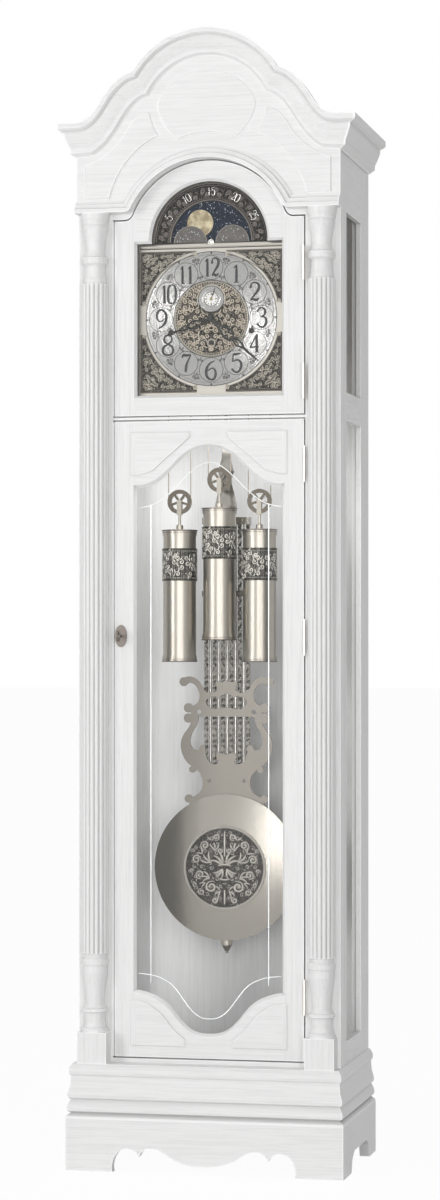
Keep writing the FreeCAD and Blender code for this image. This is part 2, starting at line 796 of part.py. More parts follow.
# Doors with their glass, raised panels and hinges
def hood_light(grow, near):
    low = hood_bottom_z + hood_bottom_rail - grow
    shoulder = hood_shoulder_z - hood_top_rail + grow
    w = hood_light_half + grow
    r = hood_light_arch + grow
    lift = math.sqrt(max(r * r - (shoulder - arch_centre_z) ** 2, 0))
    a, b, c, d = front_points([(-w, shoulder), (-w, low), (w, low), (w, shoulder)], near)
    start, top, end = front_points([(lift, shoulder), (0, arch_centre_z + r), (-lift, shoulder)], near)
    edges = [Part.makeLine(a, b), Part.makeLine(b, c), Part.makeLine(c, d), Part.makeLine(d, start)]
    edges += [Part.Arc(start, top, end).toShape(), Part.makeLine(end, a)]
    return Part.Wire(edges)


def trunk_light(grow, near):
    high = trunk_top_z - trunk_top_rail + grow
    low = trunk_bottom_z + trunk_bottom_rail - grow
    w = light_half + grow
    top = front_points([(x * w, high + z * trunk_top_curve) for x, z in trunk_top_shares], near)
    bottom = front_points([(x * w, low - z * trunk_bottom_curve) for x, z in trunk_bottom_shares], near)
    upper = top + flip(top)[1:]
    lower = bottom + flip(bottom)[1:]
    edges = [Part.makeLine(bottom[0], top[0]), curve(upper), Part.makeLine(upper[-1], lower[-1]),
             curve(lower[::-1])]
    return Part.Wire(edges)


def cut_light(door, light):
    door = door.cut(plate(light(0, -overrun), door_thick + 2 * overrun))
    return door.cut(Part.makeLoft([light(door_bevel, 0), light(0, door_bevel_depth)], True, True))


def make_doors():
    hood = plate(arched_head(door_arch_radius, door_arch_fillet, door_half_width, hood_bottom_z,
                             hood_shoulder_z, 0),
                 door_thick)
    hood = cut_light(hood, hood_light)
    hood = hood.cut(plate(hood_light(glass_rebate, door_glass_depth), door_thick))
    export("hood_door_frame", hood.Solids)
    export("hood_door_glass", [plate(hood_light(glass_rebate - seat_gap, door_glass_depth), glass_thick)])

    trunk = block(-door_half_width, door_half_width, depth(0), depth(door_thick), trunk_bottom_z,
                  trunk_top_z)
    trunk = cut_light(trunk, trunk_light)
    high = trunk_top_z - trunk_top_rail + trunk_top_curve + glass_rebate
    low = trunk_bottom_z + trunk_bottom_rail - trunk_bottom_curve - glass_rebate
    w = light_half + glass_rebate
    trunk = trunk.cut(block(-w, w, depth(door_glass_depth), depth(door_thick + overrun), low, high))
    trunk = trunk.cut(disc(key_stem_radius + running_gap, lock_x, lock_z, -overrun, door_thick + overrun))
    top_z = trunk_top_z - panel_margin - top_panel_rise
    upper = [(x * panel_half_span, top_z + z * top_panel_rise) for x, z in top_panel_shares]
    bottom_z = trunk_bottom_z + panel_margin + bottom_panel_rise
    lower = [(x * panel_half_span, bottom_z - z * bottom_panel_rise) for x, z in bottom_panel_shares]
    panels = [raised_panel(straight_runs(outline), 0, panel_height, panel_bevel)
              for outline in (upper, lower)]
    panels += [mirrored(p) for p in panels]
    trunk = trunk.fuse(panels)
    export("trunk_door_frame", trunk.Solids)
    lap = seat_gap
    pane = block(lap - w, w - lap, depth(door_glass_depth), depth(door_glass_depth + glass_thick),
                 low + lap, high - lap)
    export("trunk_door_glass", [pane])


def hinge(z, forward):
    hinge_y = depth(-forward)
    half = hinge_length / 2
    third = hinge_length / knuckle_count / 2
    near = depth(0)
    far = depth(hinge_leaf_width)
    knuckles = [(z - half, z - third - knuckle_gap), (z + third + knuckle_gap, z + half)]
    inner = post_inner - hinge_leaf_thick
    fixed = [block(inner, post_inner, near, far, z - half, z + half)]
    for low, high in knuckles:
        fixed.append(Part.makeCylinder(hinge_knuckle_radius, high - low, V(hinge_x, hinge_y, low)))
        fixed.append(block(inner, post_inner, hinge_y, near, low, high))
    pin_low = z - half - hinge_pin_head
    fixed.append(Part.makeCylinder(hinge_pin_radius, hinge_length + 2 * hinge_pin_head,
                                   V(hinge_x, hinge_y, pin_low)))
    swung = block(door_half_width, door_half_width + hinge_leaf_thick, near, far, z - half, z + half)
    tongue = block(door_half_width, door_half_width + hinge_leaf_thick, hinge_y, near, z - third, z + third)
    barrel = Part.makeCylinder(hinge_knuckle_radius, third * 2, V(hinge_x, hinge_y, z - third))
    bore = Part.makeCylinder(hinge_pin_radius + running_gap, hinge_length, V(hinge_x, hinge_y, z - half))
    swung = swung.fuse([tongue, barrel]).cut(bore)
    return fixed[0].fuse(fixed[1:]).removeSplitter(), swung


def make_hinges():
    fixed_parts = []
    leaves = {}
    stacks = [("hood_hinge_leaves", hood_bottom_z, hood_door_height, hood_hinge_shares, hood_hinge_forward),
              ("trunk_hinge_leaves", trunk_bottom_z, trunk_door_height, trunk_hinge_shares,
               trunk_hinge_forward)]
    for name, low, height, shares, forward in stacks:
        leaves[name] = []
        for share in shares:
            fixed, swung = hinge(low + share * height, forward)
            fixed_parts.append(fixed)
            leaves[name].append(swung)
        export(name, leaves[name])
    export("hinge_pins", fixed_parts)


# Escutcheon and key on the trunk door
def make_lock():
    oval = Part.Ellipse(V(lock_x, depth(0), lock_z), escutcheon_half_height, escutcheon_half_width)
    face = Part.Face(Part.Wire(oval.toShape()))
    face.rotate(V(lock_x, depth(0), lock_z), X_AXIS, RIGHT_ANGLE)
    face.rotate(V(lock_x, depth(0), lock_z), Y_AXIS, RIGHT_ANGLE)
    shield = face.extrude(V(0, -escutcheon_thick, 0))
    shield = shield.cut(disc(key_stem_radius + running_gap, lock_x, lock_z, -overrun, overrun))
    export("lock_escutcheon", [shield])
    bow_depth = -key_bow_stand - key_bow_radius
    stem = disc(key_stem_radius, lock_x, lock_z, bow_depth + key_bow_radius * key_bow_hole_share,
                door_thick + seat_gap + key_cam_thick)
    centre = V(lock_x - key_bow_thick / 2, depth(bow_depth), lock_z)
    bow = Part.makeCylinder(key_bow_radius, key_bow_thick, centre, X_AXIS)
    bow = bow.cut(Part.makeCylinder(key_bow_radius * key_bow_hole_share, key_bow_thick, centre, X_AXIS))
    cam = block(lock_x - key_cam_width / 2, lock_x + key_cam_width / 2, depth(door_thick + seat_gap),
                depth(door_thick + seat_gap + key_cam_thick), lock_z - key_cam_width / 2,
                lock_z + key_cam_length)
    stem = stem.cut(Part.makeCylinder(key_bow_radius * key_bow_hole_share, key_bow_thick * 2,
                                      V(lock_x - key_bow_thick, centre.y, lock_z), X_AXIS))
    export("lock_key", [stem.fuse([bow, cam]).removeSplitter()])


# Dial, chapter ring, ornaments and moon
def make_dial():
    z0 = dial_centre_z
    near = dial_depth
    far = dial_depth + dial_thick
    sill_z = arch_centre_z - moon_sill
    sheet = block(-dial_half_width, dial_half_width, depth(near), depth(far), dial_bottom_z, sill_z)
    crest = disc(dial_arch_radius, 0, arch_centre_z, near, far)
    crest = crest.cut(block(-dial_half_width, dial_half_width, depth(near - overrun), depth(far + overrun),
                            arch_centre_z - dial_arch_radius - overrun, sill_z))
    window = disc(moon_window_radius, 0, arch_centre_z, near - overrun, far + overrun)
    window = window.cut(block(-dial_half_width, dial_half_width, depth(near - 2 * overrun),
                              depth(far + 2 * overrun),
                              arch_centre_z - dial_arch_radius - overrun, sill_z))
    for side in (1, -1):
        window = window.cut(disc(hump_radius, side * hump_offset, sill_z, near - 2 * overrun,
                                 far + 2 * overrun))
    sheet = sheet.fuse(crest).cut(window)
    holes = [(0, z0, hour_pipe_radius + pipe_wall), (0, escape_z, pivot_radius + pipe_wall)]
    holes += [(x, z, winding_hole_radius) for x, z in barrel_places]
    for x, z, r in holes:
        sheet = sheet.cut(disc(r, x, z, near - overrun, far + overrun))
    feet = []
    for x, z in dial_foot_places:
        feet.append(disc(dial_foot_radius, x, z, far, front_plate_depth))
    stud_end = moon_disc_depth + moon_disc_thick + seat_gap
    feet.append(disc(moon_stud_radius, 0, moon_z, far, stud_end))
    feet.append(disc(moon_stud_head, 0, moon_z, stud_end, stud_end + moon_disc_thick))
    sheet = sheet.fuse(feet).removeSplitter()
    export("dial_plate", sheet.Solids)

    front = near - chapter_thick
    chapter = ring(chapter_outer_radius, chapter_inner_radius, 0, z0, front, near)
    for x, z in barrel_places:
        chapter = chapter.cut(disc(winding_hole_radius, x, z, front - overrun, near + overrun))
    seconds = ring(seconds_ring_outer, seconds_ring_inner, 0, escape_z, front, near)
    export("chapter_ring", [chapter, seconds])

    face = near - ornament_thick
    low = chapter_outer_radius * spandrel_start_share
    corner = block(low, spandrel_reach, depth(face), depth(near), z0 + low, z0 + spandrel_reach)
    corner = corner.cut(disc(chapter_outer_radius + spandrel_gap, 0, z0, face - overrun, near + overrun))
    corners = [corner, mirrored(corner)]
    corners += [c.mirror(V(0, 0, z0), Z_AXIS) for c in corners]
    above = block(-dial_half_width, dial_half_width, depth(face - overrun), depth(near + overrun),
                  sill_z - dial_bar_height - spandrel_gap, arch_centre_z)
    corners = [c.cut(above) for c in corners]
    rosette = ring(rosette_outer, rosette_inner, 0, z0, face, near)
    rosette = rosette.cut(disc(seconds_ring_outer + spandrel_gap / 2, 0, escape_z, face - overrun,
                               near + overrun))
    for x, z in barrel_places:
        rosette = rosette.cut(disc(winding_hole_radius + spandrel_gap / 2, x, z, face - overrun,
                                   near + overrun))
    export("dial_ornaments", corners + rosette.Solids)

    arch = ring(moon_ring_outer, moon_window_radius, 0, arch_centre_z, front, near)
    arch = arch.cut(block(-dial_half_width, dial_half_width, depth(front - overrun), depth(near + overrun),
                          arch_centre_z - dial_arch_radius, sill_z))
    bar = block(-spandrel_reach, spandrel_reach, depth(front), depth(near), sill_z - dial_bar_height,
                sill_z)
    tab = disc(dial_tab_radius, 0, sill_z, front, near)
    tab = tab.cut(block(-dial_tab_radius, dial_tab_radius, depth(front - overrun), depth(near + overrun),
                        sill_z - dial_bar_height, sill_z))
    export("moon_ring", arch.fuse([bar, tab]).removeSplitter().Solids)

    moon = ring(moon_disc_radius, moon_stud_radius + running_gap, 0, moon_z, moon_disc_depth,
                moon_disc_depth + moon_disc_thick)
    faces = []
    for side in (1, -1):
        faces.append(disc(moon_radius, -side * moon_orbit_x, moon_z + side * moon_orbit_z,
                          moon_disc_depth - moon_relief,
                          moon_disc_depth))
    export("moon_disc", [moon.fuse(faces).removeSplitter()])


# Hands
def hand(length, boss, bore, turn, near, z):
    right = [(w * length, z + s * length) for s, w in hand_shares]
    pairs = right + [(-x, up) for x, up in reversed(right)]
    blade = plate(polygon(front_points(pairs, near)), hand_thick)
    blade = blade.fuse(disc(boss, 0, z, near, near + hand_thick))
    blade = blade.cut(disc(bore + running_gap, 0, z, near - overrun, near + overrun))
    blade.rotate(V(0, 0, z), Y_AXIS, turn)
    return blade.removeSplitter()


def make_hands():
    z0 = dial_centre_z
    export("hour_hand", [hand(hour_hand_length, hand_boss_radius, hour_pipe_radius, hour_hand_angle,
                              hour_hand_depth, z0)])
    export("minute_hand", [hand(minute_hand_length, minute_boss_radius, cannon_radius, minute_hand_angle,
                                minute_hand_depth, z0)])
    export("seconds_hand", [hand(seconds_hand_length, seconds_boss_radius, pivot_radius, seconds_hand_angle,
                                 seconds_hand_depth, escape_z)])


# Toothed wheels
def gear(teeth, pitch_radius, x, z, near, far, first_tooth):
    module = 2 * pitch_radius / teeth
    tip = pitch_radius + addendum_share * module
    root = pitch_radius - dedendum_share * module
    pitch = 2 * math.pi / teeth
    points = []
    for i in range(teeth):
        middle = first_tooth + i * pitch
        for radius, share in ((root, -tooth_share), (tip, -tooth_tip_share), (tip, tooth_tip_share),
                              (root, tooth_share)):
            turn = middle + share * pitch / 2
            points.append(V(x + radius * math.cos(turn), depth(near), z + radius * math.sin(turn)))
    return plate(polygon(points), far - near)


def crossed(wheel, pitch_radius, x, z, near, far):
    rim = pitch_radius * crossing_rim_share
    hub = max(pitch_radius * crossing_hub_share, hub_radius)
    for i in range(crossing_count):
        middle = 2 * math.pi * i / crossing_count
        half = math.pi / crossing_count
        points = []
        for radius in (hub, rim):
            reach = half - math.asin(crossing_arm / 2 / radius)
            turns = (middle - reach, middle, middle + reach)
            line = [V(x + radius * math.cos(t), depth(near - overrun), z + radius * math.sin(t))
                    for t in turns]
            points += line if radius == hub else line[::-1]
        wheel = wheel.cut(plate(polygon(points), far - near + 2 * overrun))
    return wheel


def mesh(driven_teeth, x0, z0, x1, z1):
    toward = math.atan2(z1 - z0, x1 - x0)
    return toward, toward + math.pi + math.pi / driven_teeth


def pitch_radii(driver_teeth, driven_teeth, x0, z0, x1, z1):
    gap = math.hypot(x1 - x0, z1 - z0)
    driver = gap * driver_teeth / (driver_teeth + driven_teeth)
    return driver, gap - driver


def arbor(radius, x, z, near, far):
    return disc(radius, x, z, near, far)


def make_train():
    z0 = dial_centre_z
    front = front_plate_depth + plate_thick
    gx, gz = barrel_places[0]
    great_r, pinion_r = pitch_radii(great_teeth, centre_pinion_teeth, gx, gz, 0, z0)
    great_turn, centre_turn = mesh(centre_pinion_teeth, gx, gz, 0, z0)
    near = back_plate_depth - great_wheel_rear_gap
    far = near + wheel_thick
    middle = (near + far) / 2
    great = crossed(gear(great_teeth, great_r, gx, gz, near, far, great_turn), great_r, gx, gz, near, far)
    great = great.cut(disc(barrel_arbor_radius + running_gap, gx, gz, near - overrun, far + overrun))
    export("great_wheel", [great])

    pinion = gear(centre_pinion_teeth, pinion_r, 0, z0, middle - pinion_length / 2,
                  middle + pinion_length / 2, centre_turn)
    centre_r, third_pinion_r = pitch_radii(centre_teeth, third_pinion_teeth, 0, z0, third_x, third_z)
    centre_turn, third_turn = mesh(third_pinion_teeth, 0, z0, third_x, third_z)
    near = front + centre_wheel_front_gap
    far = near + wheel_thick
    wheel = crossed(gear(centre_teeth, centre_r, 0, z0, near, far, centre_turn), centre_r, 0, z0, near, far)
    cannon_r, minute_r = pitch_radii(cannon_teeth, minute_teeth, 0, z0, minute_x, minute_z)
    cannon_turn, minute_turn = mesh(minute_teeth, 0, z0, minute_x, minute_z)
    cannon_far = front_plate_depth - motion_gap
    cannon = gear(cannon_teeth, cannon_r, 0, z0, cannon_far - pinion_length, cannon_far, cannon_turn)
    pipe = disc(cannon_radius, 0, z0, minute_hand_depth, cannon_far - pinion_length / 2)
    spindle = arbor(pivot_radius, 0, z0, minute_hand_depth, back_plate_depth + plate_thick)
    hub = disc(hub_radius, 0, z0, near, far)
    export("centre_wheel", [spindle.fuse([pinion, wheel, hub, cannon, pipe])])

    third_near = front + third_wheel_front_gap
    third_far = third_near + wheel_thick
    third_r, escape_pinion_r = pitch_radii(third_teeth, escape_pinion_teeth, third_x, third_z, 0, escape_z)
    third_wheel_turn, escape_turn = mesh(escape_pinion_teeth, third_x, third_z, 0, escape_z)
    half = pinion_length / 2
    leaf = gear(third_pinion_teeth, third_pinion_r, third_x, third_z, near + wheel_thick / 2 - half,
                near + wheel_thick / 2 + half, third_turn)
    wheel = crossed(gear(third_teeth, third_r, third_x, third_z, third_near, third_far, third_wheel_turn),
                    third_r, third_x, third_z, third_near, third_far)
    spindle = arbor(pivot_radius, third_x, third_z, front_plate_depth, back_plate_depth + plate_thick)
    export("third_wheel", [spindle.fuse([leaf, wheel, disc(hub_radius, third_x, third_z, third_near,
                                                           third_far)])])

    leaf = gear(escape_pinion_teeth, escape_pinion_r, 0, escape_z, third_near + wheel_thick / 2 - half,
                third_near + wheel_thick / 2 + half, escape_turn)
    escape_near = back_plate_depth - escape_wheel_rear_gap
    escape_far = escape_near + wheel_thick
    points = []
    for i in range(escape_teeth):
        for radius, share in ((escape_radius * escape_root_share, 0), (escape_radius, escape_lean_share)):
            turn = 2 * math.pi * (i + share) / escape_teeth
            points.append(V(radius * math.sin(turn), depth(escape_near),
                            escape_z + radius * math.cos(turn)))
    wheel = crossed(plate(polygon(points), wheel_thick), escape_radius * escape_root_share, 0, escape_z,
                    escape_near, escape_far)
    spindle = arbor(pivot_radius, 0, escape_z, seconds_hand_depth, back_plate_depth + plate_thick)
    export("escape_wheel", [spindle.fuse([leaf, wheel, disc(hub_radius, 0, escape_z, escape_near,
                                                            escape_far)])])

    minute_mid = cannon_far - pinion_length / 2
    near = minute_mid - wheel_thick / 2
    far = minute_mid + wheel_thick / 2
    wheel = gear(minute_teeth, minute_r, minute_x, minute_z, near, far, minute_turn)
    leaf_r, hour_r = pitch_radii(minute_pinion_teeth, hour_teeth, minute_x, minute_z, 0, z0)
    leaf_turn, hour_turn = mesh(hour_teeth, minute_x, minute_z, 0, z0)
    leaf = gear(minute_pinion_teeth, leaf_r, minute_x, minute_z, near - pinion_length, near, leaf_turn)
    collar = disc(hub_radius - pipe_wall, minute_x, minute_z, far, front_plate_depth - seat_gap)
    bore = disc(pivot_radius + running_gap, minute_x, minute_z, near - pinion_length - overrun,
                front_plate_depth)
    export("minute_wheel", [wheel.fuse([leaf, collar]).cut(bore)])

    hour_far = near - pinion_length / 2 + wheel_thick / 2
    wheel = gear(hour_teeth, hour_r, 0, z0, hour_far - wheel_thick, hour_far, hour_turn)
    pipe = disc(hour_pipe_radius, 0, z0, hour_hand_depth, hour_far)
    bore = disc(cannon_radius + running_gap, 0, z0, hour_hand_depth - overrun, hour_far + overrun)
    export("hour_wheel", [wheel.fuse(pipe).cut(bore)])


# Movement plates, barrels and seatboard
def make_plates():
    top_z = seat_top_z + plate_height
    front_far = front_plate_depth + plate_thick
    back_far = back_plate_depth + plate_thick
    front = block(-plate_half_width, plate_half_width, depth(front_plate_depth), depth(front_far),
                  seat_top_z, top_z)
    back = block(-plate_half_width, plate_half_width, depth(back_plate_depth), depth(back_far), seat_top_z,
                 top_z)
    pivots = [(0, dial_centre_z, pivot_radius), (third_x, third_z, pivot_radius),
              (0, escape_z, pivot_radius),
              (0, pallet_z, pivot_radius)]
    pivots += [(x, z, barrel_arbor_radius) for x, z in barrel_places]
    for x, z, r in pivots:
        front = front.cut(disc(r + running_gap, x, z, front_plate_depth - overrun, front_far + overrun))
        back = back.cut(disc(r + running_gap, x, z, back_plate_depth - overrun, back_far + overrun))
    posts = []
    for x in (pillar_inset - plate_half_width, plate_half_width - pillar_inset):
        for z in (seat_top_z + pillar_rise, top_z - pillar_rise):
            posts.append(disc(pillar_radius, x, z, front_far, back_plate_depth))
    stud_near = front_plate_depth - motion_gap - 2 * pinion_length
    posts.append(disc(pivot_radius, minute_x, minute_z, stud_near, front_plate_depth))
    export("front_plate", [front.fuse(posts).removeSplitter()])
    cock_z = pallet_z + cock_rise
    cock_far = pendulum_depth + cock_half_depth
    cock = block(-cock_half_width, cock_half_width, depth(back_far), depth(cock_far), cock_z,
                 cock_z + cock_height)
    export("back_plate", [back.fuse(cock).removeSplitter()])

    near = front_far + barrel_front_gap
    far = near + barrel_length
    barrels = []
    for x, z in barrel_places:
        drum = disc(barrel_radius, x, z, near, far)
        flanges = [disc(barrel_flange_radius, x, z, near, near + barrel_flange_thick),
                   disc(barrel_flange_radius, x, z, far - barrel_flange_thick, far)]
        spindle = disc(barrel_arbor_radius, x, z, front_plate_depth - plate_thick, back_far)
        half = winding_square / 2
        square = block(x - half, x + half, depth(dial_depth - winding_reach), depth(front_plate_depth),
                       z - half, z + half)
        barrels.append(drum.fuse(flanges + [spindle, square]).removeSplitter())
    for name, barrel in zip(("going_barrel", "strike_barrel", "chime_barrel"), barrels):
        export(name, [barrel])

    seat = block(-side_inner, side_inner, depth(seat_front_depth), depth(seat_back_depth),
                 seat_top_z - seat_thick, seat_top_z)
    for x, z in barrel_places:
        for side in (1, -1):
            strand = x + side * cable_run_radius
            seat = seat.cut(block(strand - slot_clearance, strand + slot_clearance, depth(near), depth(far),
                                  seat_top_z - seat_thick - overrun, seat_top_z + overrun))
    export("seatboard", [seat])


# Anchor with its arbor and crutch
def limb(x0, z0, x1, z1, width, near, far):
    reach = math.hypot(x1 - x0, z1 - z0)
    bar = block(-width / 2, width / 2, depth(near), depth(far), 0, reach)
    bar.rotate(ORIGIN, Y_AXIS, math.degrees(math.atan2(x1 - x0, z1 - z0)))
    bar.translate(V(x0, 0, z0))
    return bar


def make_anchor():
    near = back_plate_depth - escape_wheel_rear_gap
    far = near + wheel_thick
    pieces = [disc(pallet_hub_radius, 0, pallet_z, near, far)]
    reach = escape_radius + pallet_clearance
    for side in (1, -1):
        turn = side * pallet_half_angle
        tip_x = reach * math.sin(turn)
        tip_z = escape_z + reach * math.cos(turn)
        far_reach = reach + pallet_length
        heel_x = far_reach * math.sin(turn)
        heel_z = escape_z + far_reach * math.cos(turn)
        pieces.append(limb(0, pallet_z, heel_x, heel_z, pallet_arm_width, near, far))
        pieces.append(limb(heel_x, heel_z, tip_x, tip_z, pallet_thick, near, far))
    crutch_near = back_plate_depth + plate_thick + crutch_stand
    crutch_far = crutch_near + crutch_thick
    pieces.append(disc(pallet_hub_radius, 0, pallet_z, crutch_near, crutch_far))
    low_z = pallet_z - crutch_length
    pieces.append(block(-crutch_width / 2, crutch_width / 2, depth(crutch_near), depth(crutch_far), low_z,
                        pallet_z))
    outer = leader_width / 2 + crutch_fork_gap + crutch_fork_wall
    pieces.append(block(-outer, outer, depth(crutch_near), depth(crutch_far), low_z - crutch_width, low_z))
    for side in (1, -1):
        x = side * (outer - crutch_fork_wall / 2)
        pieces.append(block(x - crutch_fork_wall / 2, x + crutch_fork_wall / 2, depth(crutch_far),
                            depth(pendulum_depth + leader_thick), low_z - crutch_width, low_z))
    spindle = disc(pivot_radius, 0, pallet_z, front_plate_depth, crutch_far)
    export("anchor_crutch", [spindle.fuse(pieces).removeSplitter()])


# Pendulum
def lyre_plate(tables, over):
    half = [[(w * lyre_half_width, lyre_base_z + h * lyre_height) for w, h in table] for table in tables]
    runs = half + [[(-x, z) for x, z in reversed(run)] for run in reversed(half)]
    first = half[0][0]
    top = half[-1][-1]
    if top[0]:
        runs.insert(len(half), [top, (-top[0], top[1])])
    if first[0]:
        runs.append([(-first[0], first[1]), first])
    points = front_points([pair for run in runs for pair in run[:-1]], lyre_front_depth - over)
    return plate(closed_runs(runs, points), lyre_thick + 2 * over)


def lyre_discs(table, over):
    near = lyre_front_depth - over
    far = lyre_front_depth + lyre_thick + over
    return [disc(r * lyre_half_width, side * w * lyre_half_width, lyre_base_z + h * lyre_height, near, far)
            for w, h, r in table for side in (1, -1)]


def make_pendulum():
    y = depth(pendulum_depth)
    top_z = pallet_z + cock_rise - seat_gap
    leader_top = top_z - spring_length
    head_z = pallet_z - top_plate_drop
    spring = block(-spring_width / 2, spring_width / 2, y - spring_thick / 2, y + spring_thick / 2,
                   leader_top, top_z)
    leader = block(-leader_width / 2, leader_width / 2, y - leader_thick / 2, y + leader_thick / 2, head_z,
                   leader_top)
    export("suspension", [spring.fuse(leader)])

    bar_z = head_z - top_plate_height
    right = [(w * top_plate_half_width, bar_z + h * top_plate_height) for w, h in top_plate_shares]
    near = pendulum_depth - top_plate_thick / 2
    head = plate(polygon(front_points(right + [(-x, z) for x, z in reversed(right)], near)),
                 top_plate_thick)
    rod_low = lyre_base_z + grid_foot_low_share * lyre_height
    foot_high = lyre_base_z + grid_foot_high_share * lyre_height
    front = depth(grid_depth - grid_bar_thick / 2)
    back = depth(grid_depth + grid_bar_thick / 2)
    pieces = [block(-grid_bar_half_width, grid_bar_half_width, y - grid_bar_thick / 2, back,
                    bar_z - grid_bar_height, bar_z)]
    clip_z = bar_z - grid_clip_drop
    pieces.append(block(-grid_clip_half_width, grid_clip_half_width, front, back, clip_z - grid_clip_height,
                        clip_z))
    pieces.append(block(-grid_foot_half_width, grid_foot_half_width, front, back, rod_low, foot_high))
    count = grid_plain_count + grid_twisted_count
    for i in range(count):
        x = grid_half_span * (2 * i / (count - 1) - 1)
        r = grid_plain_radius if i % 2 else grid_twisted_radius
        foot = V(x, depth(grid_depth), (rod_low + foot_high) / 2)
        pieces.append(Part.makeCylinder(r, bar_z - grid_bar_height / 2 - foot.z, foot))
    export("pendulum_grid", [head.fuse(pieces).removeSplitter()])

    half = [lyre_waist_shares, lyre_arm_shares, lyre_neck_shares, lyre_tip_shares, lyre_horn_shares,
            lyre_crest_shares, lyre_top_shares]
    lyre = lyre_plate(half, 0)
    lyre = lyre.fuse(lyre_discs(lyre_ball_shares, 0)).removeSplitter()
    lights = [lyre_plate([upper_sill_shares, upper_head_shares], overrun)]
    lights += [lyre_plate([lower_crest_shares, lower_sill_shares, lower_leaf_shares, lower_side_shares],
                          overrun)]
    lyre = lyre.cut(lights + lyre_discs(lyre_hole_shares, overrun))
    rod_depth = lyre_front_depth + lyre_thick / 2 + rating_rod_radius
    rod_end = bob_z - bob_radius - rating_rod_length
    stem_top = lyre_base_z + lyre_stem_share * lyre_height
    stem = Part.makeCylinder(rating_rod_radius, stem_top - rod_end, V(0, depth(rod_depth), rod_end))
    export("lyre_frame", [lyre.fuse(stem).removeSplitter()])

    rim = bob_edge / 2
    crest = rim + bob_dome
    part_reach = bob_radius * bob_mid_share
    part_rise = rim + bob_dome * (1 - bob_mid_share ** 2)
    start = V(bob_radius, y - rim, bob_z)
    edges = [Part.Arc(start, V(part_reach, y - part_rise, bob_z), V(0, y - crest, bob_z)).toShape()]
    edges += [Part.makeLine(V(0, y - crest, bob_z), V(0, y + rim, bob_z))]
    edges += [Part.makeLine(V(0, y + rim, bob_z), V(bob_radius, y + rim, bob_z))]
    edges += [Part.makeLine(V(bob_radius, y + rim, bob_z), start)]
    lens = Part.Face(Part.Wire(edges)).revolve(V(0, y, bob_z), Y_AXIS, FULL_TURN)
    front = pendulum_depth - crest - medallion_relief
    rosette = disc(medallion_radius, 0, bob_z, front + medallion_rim_relief, pendulum_depth)
    border = ring(medallion_radius, medallion_radius - medallion_rim, 0, bob_z, front, pendulum_depth)
    export("bob", [lens.fuse([rosette, border]).removeSplitter()])

    nut_top = bob_z - bob_radius - seat_gap
    centre = V(0, depth(rod_depth), nut_top - rating_nut_height)
    nut = Part.makeCylinder(rating_nut_radius, rating_nut_height, centre)
    tip = Part.makeCone(rating_tip_radius, rating_nut_radius, rating_tip_height,
                        V(0, depth(rod_depth), centre.z - rating_tip_height))
    bore = Part.makeCylinder(rating_rod_radius + running_gap, rating_rod_length,
                             V(0, depth(rod_depth), rod_end - running_gap))
    export("rating_nut", [nut.fuse(tip).cut(bore).removeSplitter()])


